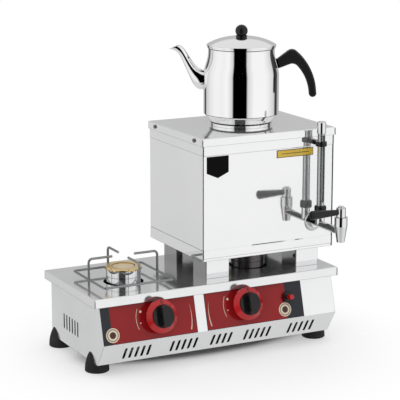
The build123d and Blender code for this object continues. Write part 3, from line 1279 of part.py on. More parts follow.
with BuildPart() as teapot_lid_knob:
    with BuildSketch(Plane(POT_ORIGIN).offset(LID_TOP)):
        Circle(LID_FLAT)
    extrude(amount=BALL_FOOT)
    with BuildSketch(Plane(POT_ORIGIN).offset(LID_TOP)):
        Circle(BALL_NECK)
    extrude(amount=BALL_RISE)
    with Locations((BOILER_X, BOILER_Y, BOILER_TOP + LID_TOP + BALL_RISE)):
        Sphere(BALL_RADIUS)
    split(bisect_by=Plane(POT_ORIGIN).offset(LID_TOP))
save(teapot_lid_knob, "teapot_lid_knob")
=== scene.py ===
# %% [markdown]
# # A gas tea stove with a boiler and a teapot
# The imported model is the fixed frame: every casting, sheet and knob already stands where it belongs. This
# lesson gives each of them its finish, adds the small printed and fastened pieces, and lights the whole as a
# product shot.

# %% Load the frame
from math import cos, pi, radians, sin

import bmesh
import bpy
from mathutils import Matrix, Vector


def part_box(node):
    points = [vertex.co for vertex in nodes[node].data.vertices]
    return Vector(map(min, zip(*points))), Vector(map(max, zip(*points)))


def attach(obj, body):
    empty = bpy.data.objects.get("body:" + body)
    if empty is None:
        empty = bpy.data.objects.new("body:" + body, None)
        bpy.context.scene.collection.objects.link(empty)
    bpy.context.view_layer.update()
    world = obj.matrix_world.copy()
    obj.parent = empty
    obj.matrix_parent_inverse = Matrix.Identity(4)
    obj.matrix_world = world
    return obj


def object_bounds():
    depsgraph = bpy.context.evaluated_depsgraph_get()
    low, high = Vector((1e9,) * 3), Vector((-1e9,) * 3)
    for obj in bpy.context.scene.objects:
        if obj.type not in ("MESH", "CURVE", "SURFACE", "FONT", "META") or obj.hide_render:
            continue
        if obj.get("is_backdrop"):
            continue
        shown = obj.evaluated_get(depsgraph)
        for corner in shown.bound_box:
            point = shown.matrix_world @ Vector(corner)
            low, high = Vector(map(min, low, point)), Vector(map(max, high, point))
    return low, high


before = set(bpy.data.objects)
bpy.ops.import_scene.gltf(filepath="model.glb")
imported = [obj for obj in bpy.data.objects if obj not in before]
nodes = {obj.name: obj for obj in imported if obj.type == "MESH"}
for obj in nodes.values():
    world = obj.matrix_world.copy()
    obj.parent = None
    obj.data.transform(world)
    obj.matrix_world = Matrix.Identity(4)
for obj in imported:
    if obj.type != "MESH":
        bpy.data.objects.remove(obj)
cad_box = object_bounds()
print(len(nodes), "pieces in the frame, box", [tuple(round(v, 3) for v in corner) for corner in cad_box])

# %% [markdown]
# ## Camera
# The photograph was taken from the left of the front, a little above the stove, through a long lens that
# hardly converges. The camera looks at one point from an azimuth and an elevation, so both can be read off
# the code.

# %% Place the camera
AZIMUTH = radians(-27.327)
ELEVATION = radians(12.562)
DISTANCE = 3.28598
TARGET = Vector((0.0191, 0.035, 0.29699))
SENSOR = 36.0
LENS = 146.8
towards_camera = Vector((sin(AZIMUTH) * cos(ELEVATION), -cos(AZIMUTH) * cos(ELEVATION), sin(ELEVATION)))
camera_data = bpy.data.cameras.new("camera")
camera_data.sensor_width = SENSOR
camera_data.lens = LENS
camera = bpy.data.objects.new("camera", camera_data)
camera.location = TARGET + DISTANCE * towards_camera
camera.rotation_euler = towards_camera.to_track_quat("Z", "Y").to_euler()
bpy.context.scene.collection.objects.link(camera)
bpy.context.scene.camera = camera
bpy.context.scene.view_settings.view_transform = "Standard"
print("camera at", tuple(round(v, 3) for v in camera.location))

# %% [markdown]
# ## Node helpers
# A material or a world is a tree of small nodes. Each helper here makes one node, feeds it with the outputs
# of others or with plain values, and returns its own output, so that a tree can be written as a sum is.

# %% Helpers for node trees
X_AXIS, Y_AXIS, Z_AXIS = Vector((1, 0, 0)), Vector((0, 1, 0)), Vector((0, 0, 1))
MIX_SOCKETS = {"FLOAT": (2, 3, 0), "RGBA": (6, 7, 2)}


def grey(level):
    """An even grey as a colour with full alpha."""
    return (level, level, level, 1)


def add_node(tree, kind, inputs=None, **settings):
    """A node of that kind, with its properties set by name and its inputs by name or number."""
    node = tree.nodes.new(kind)
    for key, value in settings.items():
        setattr(node, key, value)
    for index, given in (inputs or {}).items():
        node.inputs[index].default_value = given
    return node


def feed(tree, socket, given):
    """Links an output to a socket, or sets a plain value on it."""
    if isinstance(given, bpy.types.NodeSocket):
        tree.links.new(given, socket)
    else:
        socket.default_value = given


def math_node(tree, operation, *operands):
    """A sum on numbers."""
    node = add_node(tree, "ShaderNodeMath", operation=operation)
    for socket, given in zip(node.inputs, operands):
        feed(tree, socket, given)
    return node.outputs[0]


def vector_node(tree, operation, *operands):
    """A sum on vectors, which gives a number for a dot product or a length."""
    node = add_node(tree, "ShaderNodeVectorMath", operation=operation)
    for socket, given in zip(node.inputs, operands):
        feed(tree, socket, given)
    return node.outputs["Value" if operation in ("DOT_PRODUCT", "LENGTH") else "Vector"]


def map_range(tree, value, ends, levels=(0.0, 1.0), smooth=False):
    """Where a value lies between two ends, spread over two levels."""
    curve = "SMOOTHSTEP" if smooth else "LINEAR"
    node = add_node(tree, "ShaderNodeMapRange", interpolation_type=curve)
    for socket, given in zip(node.inputs, (value, *ends, *levels)):
        feed(tree, socket, given)
    return node.outputs[0]


def mix_node(tree, factor, first, second, kind="RGBA"):
    """A blend of two colours, or of two numbers where the kind is FLOAT."""
    node = add_node(tree, "ShaderNodeMix", data_type=kind)
    start, end, result = MIX_SOCKETS[kind]
    for index, given in ((0, factor), (start, first), (end, second)):
        feed(tree, node.inputs[index], given)
    return node.outputs[result]


def glow_node(tree, kind, colour, strength=1.0):
    """A shader that gives off light of one colour."""
    node = add_node(tree, kind, inputs={"Strength": strength})
    feed(tree, node.inputs["Color"], colour)
    return node.outputs[0]


def mix_shaders(tree, factor, first, second):
    """A blend of two shaders."""
    node = add_node(tree, "ShaderNodeMixShader")
    for socket, given in zip(node.inputs, (factor, first, second)):
        tree.links.new(given, socket)
    return node.outputs[0]


def set_sockets(material, **values):
    """Plain values on a material's shader, with _ for the spaces in a socket's name."""
    shader = material.node_tree.nodes["Principled BSDF"]
    for name, value in values.items():
        shader.inputs[name.replace("_", " ")].default_value = value


WHITE = grey(1.0)
print("helpers ready")

# %% [markdown]
# ## Studio
# Polished steel has no colour of its own: it shows the room. The pot in the photograph mirrors two wide white
# screens with a dark gap between them and dark edges at the far sides. A world that is white for the camera
# and for matt surfaces, and that has those screens for mirror rays, gives the same streaks on every rounded
# piece. The screens are stops of one ramp, by the angle from the camera in degrees and the brightness there.

# %% Build the world
WORLD_FILL = 0.80
FULL_TURN = 360
RAMP_MIDDLE = 0.5
SCREENS = (
    *((-180, 0.54), (-153, 0.5), (-149, 0.08), (-138, 0.08), (-134, 0.66), (-124, 0.71)),
    *((-112, 0.84), (-101, 0.91), (-90, 0.96), (-78, 0.97), (-62, 0.93), (-46, 1.0)),
    *((-39, 0.9), (-33, 0.755), (-29, 0.69), (-25.5, 0.0), (14.5, 0.0), (18.5, 0.72)),
    *((31, 0.9), (38, 1.0), (77, 1.0), (89, 0.93), (98, 0.835), (108, 0.76)),
    *((119, 0.6), (123, 0.06), (136, 0.04), (140, 0.42), (158, 0.52), (180, 0.54)),
)
CEILING = 0.80
CEILING_RISE = (0.34, 0.52)
CEILING_SETBACK = -0.40
GROUND = 0.72
GROUND_FALL = (-0.60, -0.34)
world = bpy.data.worlds.new("studio")
world.use_nodes = True
bpy.context.scene.world = world
tree = world.node_tree
tree.nodes.clear()
direction = add_node(tree, "ShaderNodeTexCoord").outputs["Generated"]
camera_right = Vector((cos(AZIMUTH), sin(AZIMUTH), 0))
camera_side = Vector((sin(AZIMUTH), -cos(AZIMUTH), 0))
rightward, forward, upward = (
    vector_node(tree, "DOT_PRODUCT", direction, axis) for axis in (camera_right, camera_side, Z_AXIS)
)
angle = math_node(tree, "ARCTAN2", rightward, forward)
ramp = add_node(tree, "ShaderNodeValToRGB")
tree.links.new(math_node(tree, "MULTIPLY_ADD", angle, RAMP_MIDDLE / pi, RAMP_MIDDLE), ramp.inputs[0])
stops = ramp.color_ramp.elements
while len(stops) < len(SCREENS):
    stops.new(RAMP_MIDDLE)
for stop, (degrees, level) in zip(stops, SCREENS):
    stop.position = degrees / FULL_TURN + RAMP_MIDDLE
    stop.color = grey(level)
ahead = math_node(tree, "MAXIMUM", forward, 0.0)
overhead = math_node(tree, "MULTIPLY_ADD", ahead, CEILING_SETBACK, upward)
above = map_range(tree, overhead, CEILING_RISE, smooth=True)
mirrored = mix_node(tree, above, ramp.outputs[0], grey(CEILING))
level_ground = map_range(tree, upward, GROUND_FALL, smooth=True)
mirrored = mix_node(tree, level_ground, grey(GROUND), mirrored)
rays = add_node(tree, "ShaderNodeLightPath").outputs
fill = glow_node(tree, "ShaderNodeBackground", WHITE, WORLD_FILL)
screens = glow_node(tree, "ShaderNodeBackground", mirrored)
backdrop = glow_node(tree, "ShaderNodeBackground", WHITE)
mirror_rays = math_node(tree, "MAXIMUM", rays["Is Glossy Ray"], rays["Is Transmission Ray"])
lit = mix_shaders(tree, mirror_rays, fill, screens)
seen = mix_shaders(tree, rays["Is Camera Ray"], lit, backdrop)
tree.links.new(seen, add_node(tree, "ShaderNodeOutputWorld").inputs[0])
print("world with", len(SCREENS), "stops round the horizon")

# %% [markdown]
# The floor is white paper. Near the stove it takes real shadow, and further out it fades to plain white for
# the camera, as a lit backdrop does. Right under the stove nothing glows, so the slots look into the dark.
# Mirror rays pass the floor and see the screens, so that upright sheet shows the same streaks as sloping
# sheet.

# %% Lay the floor
FLOOR_HALF = 14.0
FLOOR_TONE = grey(0.96)
PAPER_ROUGHNESS = 0.9
FADE = (0.24, 0.50)
LEAST_GLOW = 0.46
SHADE_MIDDLE = (0.0, 0.03, 0.0)
SHADE_HALF = (0.27, 0.092)
SHADE_EDGE = (0.70, 1.10)
mesh = bpy.data.meshes.new("floor")
bm = bmesh.new()
bmesh.ops.create_grid(bm, x_segments=1, y_segments=1, size=FLOOR_HALF)
bm.to_mesh(mesh)
bm.free()
floor = bpy.data.objects.new("floor", mesh)
floor.visible_glossy = False
bpy.context.scene.collection.objects.link(floor)
paper = bpy.data.materials.new("white_paper")
paper.use_nodes = True
set_sockets(paper, Base_Color=FLOOR_TONE, Roughness=PAPER_ROUGHNESS, Specular_IOR_Level=0.0)
tree = paper.node_tree
spot = add_node(tree, "ShaderNodeTexCoord").outputs["Object"]
fade = map_range(tree, vector_node(tree, "LENGTH", spot), FADE, (LEAST_GLOW, 1.0), smooth=True)
offset = vector_node(tree, "SUBTRACT", spot, SHADE_MIDDLE)
share = vector_node(tree, "MULTIPLY", offset, (1 / SHADE_HALF[0], 1 / SHADE_HALF[1], 0))
beside = map_range(tree, vector_node(tree, "LENGTH", share), SHADE_EDGE, smooth=True)
rays = add_node(tree, "ShaderNodeLightPath").outputs
seen = math_node(tree, "MAXIMUM", rays["Is Camera Ray"], rays["Is Transmission Ray"])
glow_share = math_node(tree, "MULTIPLY", math_node(tree, "MULTIPLY", fade, beside), seen)
glow = glow_node(tree, "ShaderNodeEmission", WHITE)
lit_paper = mix_shaders(tree, glow_share, tree.nodes["Principled BSDF"].outputs[0], glow)
tree.links.new(lit_paper, tree.nodes["Material Output"].inputs[0])
mesh.materials.append(paper)
floor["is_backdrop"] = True
print("floor", 2 * FLOOR_HALF, "m wide")

# %% [markdown]
# Two soft lamps give the matt pieces some shape: a wide one overhead and a smaller one from the left. Mirror
# rays don't see them, because the screens already are what the metal shows.

# %% Hang the lamps
LAMPS = (
    ("overhead_softbox", (0.1, -0.3, 3.0), (0, 0, 0.2), 2.6, 17.0),
    ("left_softbox", (-2.6, -2.4, 1.9), (0, 0, 0.25), 1.8, 10.0),
)
for name, place, aim, size, power in LAMPS:
    lamp_data = bpy.data.lights.new(name, "AREA")
    lamp_data.shape = "DISK"
    lamp_data.size = size
    lamp_data.energy = power
    lamp = bpy.data.objects.new(name, lamp_data)
    lamp.location = place
    lamp.rotation_euler = (Vector(place) - Vector(aim)).to_track_quat("Z", "Y").to_euler()
    lamp.visible_glossy = False
    lamp.visible_camera = False
    bpy.context.scene.collection.objects.link(lamp)
print(len(LAMPS), "lamps")

# %% [markdown]
# ## Effects that several finishes share
# Real metal and plastic are never even: hands leave a film that dulls the polish in patches, rolling and
# moulding leave a fine texture, and colour drifts a little. Along a fold or a cut edge a thin dark line is
# painted: painted shade and dark reflection at the edge, partly the dirt that a fold gathers. A Bevel node
# finds
# the edge: near it the rounded normal leaves the flat one. Each of these is a node group, built once and
# placed in a finish with its own values.

# %% Build the shared node groups
FLOAT, COLOUR, VECTOR = "NodeSocketFloat", "NodeSocketColor", "NodeSocketVector"
FILM_SPREAD = (0.35, 0.68)
DRIFT_SPREAD = (0.3, 0.7)
EDGE_SHADE_SPREAD = (0.985, 0.86)
BEVEL_SAMPLES = 8


def new_group(name, inputs, output):
    """A shader group with its sockets, and the outputs and inputs that its own nodes link to."""
    group = bpy.data.node_groups.new(name, "ShaderNodeTree")
    for label, kind, value in inputs:
        socket = group.interface.new_socket(label, in_out="INPUT", socket_type=kind)
        if value is not None:
            socket.default_value = value
    group.interface.new_socket(output[0], in_out="OUTPUT", socket_type=output[1])
    given = group.nodes.new("NodeGroupInput").outputs
    return group, given, group.nodes.new("NodeGroupOutput").inputs[0]


def clouds(group, given, **values):
    """Noise at the scale that the group is given."""
    node = add_node(group, "ShaderNodeTexNoise", inputs=values)
    for name in ("Vector", "Scale"):
        group.links.new(given[name], node.inputs[name])
    return node.outputs[0]


hand_film, given, result = new_group(
    "hand_film",
    [("Vector", VECTOR, None), ("Scale", FLOAT, 8.0), ("Clean", FLOAT, 0.05), ("Filmed", FLOAT, 0.12)],
    ("Roughness", FLOAT),
)
patches = clouds(hand_film, given, Detail=5.0, Roughness=0.55)
hand_film.links.new(map_range(hand_film, patches, FILM_SPREAD, (given["Clean"], given["Filmed"])), result)

tone_drift, given, result = new_group(
    "tone_drift",
    [("Vector", VECTOR, None), ("Scale", FLOAT, 6.0), ("Light", COLOUR, None), ("Dark", COLOUR, None)],
    ("Color", COLOUR),
)
patches = map_range(tone_drift, clouds(tone_drift, given, Detail=3.0), DRIFT_SPREAD)
tone_drift.links.new(mix_node(tone_drift, patches, given["Dark"], given["Light"]), result)

fine_grain, given, result = new_group(
    "fine_grain", [("Vector", VECTOR, None), ("Scale", FLOAT, 400.0)], ("Height", FLOAT)
)
fine_grain.links.new(clouds(fine_grain, given, Detail=2.0), result)

edge_shade_line, given, result = new_group(
    "edge_shade_line", [("Width", FLOAT, 0.001), ("Depth", FLOAT, 0.7)], ("Mask", FLOAT)
)
rounded = add_node(edge_shade_line, "ShaderNodeBevel", samples=BEVEL_SAMPLES)
edge_shade_line.links.new(given["Width"], rounded.inputs["Radius"])
flat = add_node(edge_shade_line, "ShaderNodeNewGeometry").outputs["Normal"]
likeness = vector_node(edge_shade_line, "DOT_PRODUCT", rounded.outputs[0], flat)
edge_shade_line.links.new(map_range(edge_shade_line, likeness, EDGE_SHADE_SPREAD, (0.0, given["Depth"])), result)
print("groups:", hand_film.name, tone_drift.name, fine_grain.name, edge_shade_line.name)

# %% [markdown]
# A finish is a shader with those groups in front of it: two tones that drift into each other, a roughness
# for clean and for filmed patches, and a grain where the making leaves one. A stretched grain lies along the
# direction of rolling or spinning.


# %% A finish from the shared effects
def place_group(material, group, vector, **values):
    """The group as a node in a material, fed with coordinates and its own values."""
    node = add_node(material.node_tree, "ShaderNodeGroup", inputs=values, node_tree=group)
    material.node_tree.links.new(vector, node.inputs["Vector"])
    return node.outputs[0]


def new_finish(
    name, light, dark, metallic, film, drift=6.0, film_scale=9.0, grain=None, stretch=(1, 1, 1), **sockets
):
    """A material whose colour drifts, whose polish is dulled in patches and whose surface has a grain."""
    material = bpy.data.materials.new(name)
    material.use_nodes = True
    set_sockets(material, Metallic=metallic, **sockets)
    tree = material.node_tree
    shader = tree.nodes["Principled BSDF"]
    place = add_node(tree, "ShaderNodeTexCoord").outputs["Object"]
    colour = place_group(material, tone_drift, place, Scale=drift, Light=(*light, 1), Dark=(*dark, 1))
    tree.links.new(colour, shader.inputs["Base Color"])
    polish = place_group(material, hand_film, place, Scale=film_scale, Clean=film[0], Filmed=film[1])
    tree.links.new(polish, shader.inputs["Roughness"])
    if grain:
        scale, distance = grain
        mapping = add_node(tree, "ShaderNodeMapping", inputs={"Scale": stretch})
        tree.links.new(place, mapping.inputs[0])
        height = place_group(material, fine_grain, mapping.outputs[0], Scale=scale)
        bump = add_node(tree, "ShaderNodeBump", inputs={"Strength": 1.0, "Distance": distance})
        tree.links.new(height, bump.inputs["Height"])
        tree.links.new(bump.outputs[0], shader.inputs["Normal"])
    return material


def dress(material, *names):
    """Gives CAD pieces their finish."""
    for name in names:
        nodes[name].data.materials.clear()
        nodes[name].data.materials.append(material)


print("finishes can be mixed")

# %% [markdown]
# Some finishes change from place to place: print, painted shade with some soot, painted shade on a side. A
# mask is a number that is 1 where the change belongs and 0 elsewhere, worked out from object coordinates, so
# it stays on its piece when the piece moves.

# %% Masks that follow an object's own place
# Painted edge shade: the near-black laid along folds and cut edges.
EDGE_SHADE_TONE = (0.045, 0.045, 0.048, 1)


def within(tree, value, low, high):
    """Mask that is 1 between two values."""
    return math_node(tree, "COMPARE", value, (low + high) / 2, (high - low) / 2)


def all_of(tree, *masks):
    """Mask that is 1 where every given mask is."""
    whole = masks[0]
    for mask in masks[1:]:
        whole = math_node(tree, "MULTIPLY", whole, mask)
    return whole


def along(tree, axis):
    """How far a point lies along an axis, in object coordinates."""
    place = add_node(tree, "ShaderNodeTexCoord").outputs["Object"]
    return vector_node(tree, "DOT_PRODUCT", place, axis)


def diagonal(tree, first, second):
    """The length of a diagonal from its two sides."""
    square = math_node(tree, "MULTIPLY_ADD", second, second, math_node(tree, "MULTIPLY", first, first))
    return math_node(tree, "SQRT", square)


def from_axis(tree, middle):
    """How far a point lies from an upright axis, in object coordinates."""
    across = math_node(tree, "SUBTRACT", along(tree, X_AXIS), middle.x)
    deep = math_node(tree, "SUBTRACT", along(tree, Y_AXIS), middle.y)
    return diagonal(tree, across, deep)


def lay_over(material, mask, **values):
    """Lays a colour, or another value of the shader's sockets, over what is there through a mask."""
    tree = material.node_tree
    for name, value in values.items():
        socket = tree.nodes["Principled BSDF"].inputs[name.replace("_", " ")]
        before = socket.links[0].from_socket if socket.links else socket.default_value
        kind = "RGBA" if socket.type == "RGBA" else "FLOAT"
        tree.links.new(mix_node(tree, mask, before, value, kind), socket)


def paint_edge_shade(material, width, depth):
    """Paints a thin dark line along folds and cut edges: painted edge shade and dark reflection, partly dirt.
    """
    line = add_node(
        material.node_tree, "ShaderNodeGroup", inputs={"Width": width, "Depth": depth}, node_tree=edge_shade_line
    )
    lay_over(material, line.outputs[0], Base_Color=EDGE_SHADE_TONE)


print("masks ready")

# %% [markdown]
# ## Metals
# The boiler and the tray are mirror-polished sheet, the stove's casing is the same sheet with a softer polish,
# the pot is spun and buffed, and the tap, the burner cups and the stand are bright-plated. They differ in
# tone, in how sharp their mirror is, and in the direction of the faint marks that their making leaves. A
# mirror of polished sheet is never whole: a little of its light is scattered, so what is black in front of it
# shows grey in it.

# %% Mix the metals
mirror_steel = new_finish(
    "mirror_steel", (0.90, 0.90, 0.905), (0.86, 0.865, 0.87), 0.88, (0.035, 0.075), film_scale=7
)
tray_steel = new_finish(
    "tray_steel", (0.86, 0.86, 0.865), (0.80, 0.805, 0.81), 0.90, (0.09, 0.17), film_scale=7
)
soft_steel = new_finish(
    "soft_polished_steel",
    (0.88, 0.885, 0.89),
    (0.83, 0.835, 0.84),
    0.92,
    (0.12, 0.22),
    grain=(260, 0.000012),
    stretch=(0.05, 1, 1),
)
spun_steel = new_finish(
    "spun_steel",
    (0.93, 0.93, 0.93),
    (0.89, 0.89, 0.895),
    1.0,
    (0.02, 0.05),
    grain=(300, 0.000004),
    stretch=(0.03, 0.03, 1),
)
bright_plate = new_finish(
    "bright_plating", (0.84, 0.845, 0.85), (0.76, 0.765, 0.77), 1.0, (0.03, 0.08), film_scale=30
)
# Painted shade under the boiler, partly heat tint: the right burner's cup is dark plating.
shade_and_heat_plate = new_finish(
    "shade_and_heat_plating", (0.16, 0.15, 0.15), (0.08, 0.075, 0.075), 0.9, (0.25, 0.4), film_scale=30
)
gauge_plate = new_finish(
    "gauge_plating", (0.56, 0.565, 0.57), (0.46, 0.465, 0.47), 1.0, (0.26, 0.36), film_scale=40
)
flange_plate = new_finish(
    "flange_plating", (0.60, 0.605, 0.61), (0.50, 0.505, 0.51), 1.0, (0.08, 0.16), film_scale=40
)
wire_plate = new_finish(
    "plated_wire", (0.31, 0.315, 0.32), (0.22, 0.225, 0.23), 1.0, (0.05, 0.12), film_scale=60
)
screw_plate = new_finish(
    "dark_plating", (0.20, 0.20, 0.205), (0.14, 0.14, 0.145), 1.0, (0.10, 0.18), film_scale=60
)
brass = new_finish(
    "satin_brass",
    (0.88, 0.68, 0.36),
    (0.80, 0.59, 0.28),
    1.0,
    (0.20, 0.30),
    drift=40,
    film_scale=50,
    grain=(700, 0.000004),
)
dull_alloy = new_finish(
    "drawn_alloy_tube", (0.72, 0.72, 0.72), (0.62, 0.62, 0.63), 1.0, (0.25, 0.4), film_scale=40
)
# Painted edge shade: a thin dark line in the colour along each finish's folds and edges, standing in for shade
# and dark reflection there, partly dirt.
EDGE_SHADES = (
    (mirror_steel, 0.0015, 0.90),
    (tray_steel, 0.0016, 0.95),
    (soft_steel, 0.0014, 0.85),
    (spun_steel, 0.0012, 0.65),
    (bright_plate, 0.0010, 0.80),
    (flange_plate, 0.0010, 0.80),
    (brass, 0.0008, 0.45),
)
for finish, width, depth in EDGE_SHADES:
    paint_edge_shade(finish, width, depth)
print("metals mixed,", len(EDGE_SHADES), "of them with dark folds")

# %% [markdown]
# Each metal goes on the pieces that are made of it. The pieces inside the stove get theirs too, because a
# part that is opened or lifted shows them.

# %% Dress the metal pieces
dress(mirror_steel, "boiler_wrap", "boiler_front", "boiler_lid")
dress(tray_steel, "top_tray")
dress(spun_steel, "teapot_spout", "teapot_lid", "handle_lug")
dress(bright_plate, "left_burner_cup", "left_spindle", "right_spindle")
dress(bright_plate, "tap_body", "tap_plug", "tap_crown", "tap_back_nut", "gauge_cap")
dress(shade_and_heat_plate, "right_burner_cup")
dress(flange_plate, "tap_flange")
dress(screw_plate, "lid_screws")
dress(gauge_plate, "gauge_guard")
dress(wire_plate, "pot_stand")
dress(brass, "gas_inlet", "valve_bonnets", "burner_injectors")
dress(brass, "left_valve_body", "right_valve_body", "left_valve_plug", "right_valve_plug")
dress(dull_alloy, "gas_rail", "left_gas_pipe", "right_gas_pipe")
print("metal pieces dressed")

# %% [markdown]
# A burner's cap is turned brass. The tool leaves a bright dish in the middle, and the step round the dish
# holds the brown of old heat, so a ring shows there. Both follow the distance from the cap's own axis.

# %% Turn the caps
DISH_RADIUS = 0.0212
STEP_RADIUS = 0.0238
DISH_BRASS = (0.93, 0.76, 0.47, 1)
STEP_BRASS = (0.36, 0.23, 0.08, 1)
for cap in ("left_burner_cap", "right_burner_cap"):
    finish = brass.copy()
    finish.name = f"{cap}_brass"
    tree = finish.node_tree
    low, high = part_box(cap)
    reach = from_axis(tree, (low + high) / 2)
    lay_over(finish, within(tree, reach, DISH_RADIUS, STEP_RADIUS), Base_Color=STEP_BRASS)
    lay_over(finish, within(tree, reach, 0.0, DISH_RADIUS), Base_Color=DISH_BRASS)
    dress(finish, cap)
print("caps turned with a dish of", DISH_RADIUS, "m")

# %% [markdown]
# The pot is spun from one disc and then rolled. Under its rim, where the wall turns in, and at the waist of
# its foot a thin dark line is painted round the pot: painted shade in the gap under the lid and in the turn of
# the foot.

# %% Paint shade lines round the pot
SHADE_LINE_TONE = (0.10, 0.10, 0.105, 1)
RIM_SHADE_LINE = (0.0030, 0.0046)
FOOT_SHADE_LINES = ((0.0055, 0.0088), (0.0228, 0.0239))
pot_steel = spun_steel.copy()
pot_steel.name = "pot_shade_line_steel"
tree = pot_steel.node_tree
low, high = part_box("teapot_body")
height = along(tree, Z_AXIS)
shade_lines = [(high.z - RIM_SHADE_LINE[1], high.z - RIM_SHADE_LINE[0])]
shade_lines += [(low.z + start, low.z + end) for start, end in FOOT_SHADE_LINES]
# Painted shade: a dark band round the pot under the rim and at the foot.
for shade_line in shade_lines:
    lay_over(pot_steel, within(tree, height, *shade_line), Base_Color=SHADE_LINE_TONE)
dress(pot_steel, "teapot_body")
print("pot with", len(shade_lines), "shade_lines")

# %% [markdown]
# ## Painted shade and soot
# The inside of the casing is painted near-black as the shade that fills it, so the slots look into a dark
# room. The boiler's floor and the tank's underside are painted the same near-black, as painted shade under the
# boiler and partly the soot of the burner below, so the tray mirrors a black underside between the boiler's
# legs. The casing is one sheet with one finish, and a mask tells its inside from its outside: a point is
# inside where it lies a little behind every outer plane.

# %% Paint shade inside the casing and under the boiler
SKIN = 0.0006
SOOT_AND_SHADE = (0.016, 0.016, 0.017, 1)
SOOT_AND_SHADE_LIGHT = (0.028, 0.028, 0.029)
SOOT_AND_SHADE_ROUGHNESS = 0.6
PANEL_MIDDLE = Vector((0.0, -0.094, 0.10325))
PANEL_OUT = Vector((0.0, -0.9639926, 0.2659290))
PANEL_UP = Vector((0.0, 0.2659290, 0.9639926))
KNEE = Vector((0.0, -0.104, 0.067))
TOE_OUT = Vector((0.0, -0.8320503, -0.5547002))
low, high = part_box("base_casing")
outer_planes = (
    (low, -X_AXIS),
    (high, X_AXIS),
    (high, Y_AXIS),
    (PANEL_MIDDLE, PANEL_OUT),
    (KNEE, TOE_OUT),
)
casing_steel = soft_steel.copy()
casing_steel.name = "casing_steel"
tree = casing_steel.node_tree
behind = [
    math_node(tree, "LESS_THAN", along(tree, normal), point.dot(normal) - SKIN)
    for point, normal in outer_planes
]
# Painted shade: the casing's inside is laid near-black.
lay_over(casing_steel, all_of(tree, *behind), Base_Color=SOOT_AND_SHADE, Roughness=SOOT_AND_SHADE_ROUGHNESS, Metallic=0.0)
tank_steel = soft_steel.copy()
tank_steel.name = "tank_steel"
tree = tank_steel.node_tree
underside = math_node(tree, "LESS_THAN", along(tree, Z_AXIS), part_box("water_tank")[0].z + SKIN)
# Painted shade under the boiler, partly soot: the tank's underside is laid near-black.
lay_over(tank_steel, underside, Base_Color=SOOT_AND_SHADE, Roughness=SOOT_AND_SHADE_ROUGHNESS, Metallic=0.0)
# Painted shade with some soot: near-black for the boiler's floor, the casing's bottom plate and the burner
# brackets.
soot_and_shade_steel = new_finish("soot_and_shade_steel", SOOT_AND_SHADE_LIGHT, SOOT_AND_SHADE[:3], 0.0, (0.45, 0.65), film_scale=20)
dress(casing_steel, "base_casing")
dress(tank_steel, "water_tank")
dress(soot_and_shade_steel, "boiler_floor", "bottom_plate", "burner_brackets")
print("inside darkened behind", len(outer_planes), "planes")

# %% [markdown]
# The legs are painted darker behind their front faces: painted shade on the sides and backs, standing in for
# how the light falls. The gauge's guard is a slotted tube, plated outside and left as drawn inside; its bore
# is painted darker and duller than its skin, partly the drawn metal and partly painted shade inside the tube.

# %% Paint shade on the legs' sides and in the guard's bore
LEG_SIDE_SHADE = (0.34, 0.34, 0.345, 1)
SHADED_BARE_BORE = (0.30, 0.31, 0.32, 1)
BORE_ROUGHNESS = 0.5
BORE_METALLIC = 0.25
leg_steel = mirror_steel.copy()
leg_steel.name = "leg_steel"
tree = leg_steel.node_tree
leg_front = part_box("boiler_legs")[0].y + SKIN
# Painted shade: the legs' sides and backs behind the front faces are darker.
lay_over(leg_steel, math_node(tree, "GREATER_THAN", along(tree, Y_AXIS), leg_front), Base_Color=LEG_SIDE_SHADE)
dress(leg_steel, "boiler_legs")
low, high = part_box("gauge_guard")
tree = gauge_plate.node_tree
bore = math_node(tree, "LESS_THAN", from_axis(tree, (low + high) / 2), (high.x - low.x) / 2 - SKIN)
# Painted shade in the bore, partly the duller drawn metal: darker and rougher inside the tube.
lay_over(gauge_plate, bore, Base_Color=SHADED_BARE_BORE, Roughness=BORE_ROUGHNESS, Metallic=BORE_METALLIC)
print("legs scorched behind", round(leg_front, 4), "m")

# %% [markdown]
# ## Plastics, rubber, glass
# The grips, the lever and the pot's handle are black moulded plastic with a slight sheen, the knob skirts and
# the igniter's button a glossy red, the feet soft matt rubber, and the gauge a clear tube that hard water has
# clouded, so it lets only part of the light through.

# %% Dress the plastic, rubber and glass pieces
MOULDING_GLOSS = 0.32
RUBBER_GLOSS = 0.28
TUBE_CLEARNESS = 0.6
TUBE_IOR = 1.12
black_plastic = new_finish(
    "black_moulding",
    (0.014, 0.014, 0.015),
    (0.008, 0.008, 0.008),
    0.0,
    (0.28, 0.40),
    film_scale=40,
    grain=(1500, 0.00002),
    Specular_IOR_Level=MOULDING_GLOSS,
)
black_gloss = new_finish(
    "black_gloss",
    (0.010, 0.010, 0.011),
    (0.006, 0.006, 0.006),
    0.0,
    (0.10, 0.2),
    film_scale=40,
    Specular_IOR_Level=MOULDING_GLOSS,
)
red_plastic = new_finish(
    "red_moulding",
    (0.47, 0.010, 0.014),
    (0.38, 0.007, 0.010),
    0.0,
    (0.10, 0.2),
    drift=30,
    film_scale=40,
    grain=(900, 0.00001),
)
foot_rubber = new_finish(
    "foot_rubber",
    (0.020, 0.020, 0.020),
    (0.012, 0.012, 0.012),
    0.0,
    (0.6, 0.8),
    film_scale=50,
    grain=(1200, 0.00006),
    Specular_IOR_Level=RUBBER_GLOSS,
)
white_ceramic = new_finish(
    "glazed_ceramic", (0.85, 0.84, 0.80), (0.78, 0.77, 0.73), 0.0, (0.1, 0.2), film_scale=60
)
clear_glass = new_finish(
    "gauge_tube",
    (0.62, 0.64, 0.65),
    (0.50, 0.52, 0.53),
    0.0,
    (0.04, 0.10),
    film_scale=30,
    Transmission_Weight=TUBE_CLEARNESS,
    IOR=TUBE_IOR,
)
dress(black_plastic, "igniter_nut", "tap_lever", "teapot_handle")
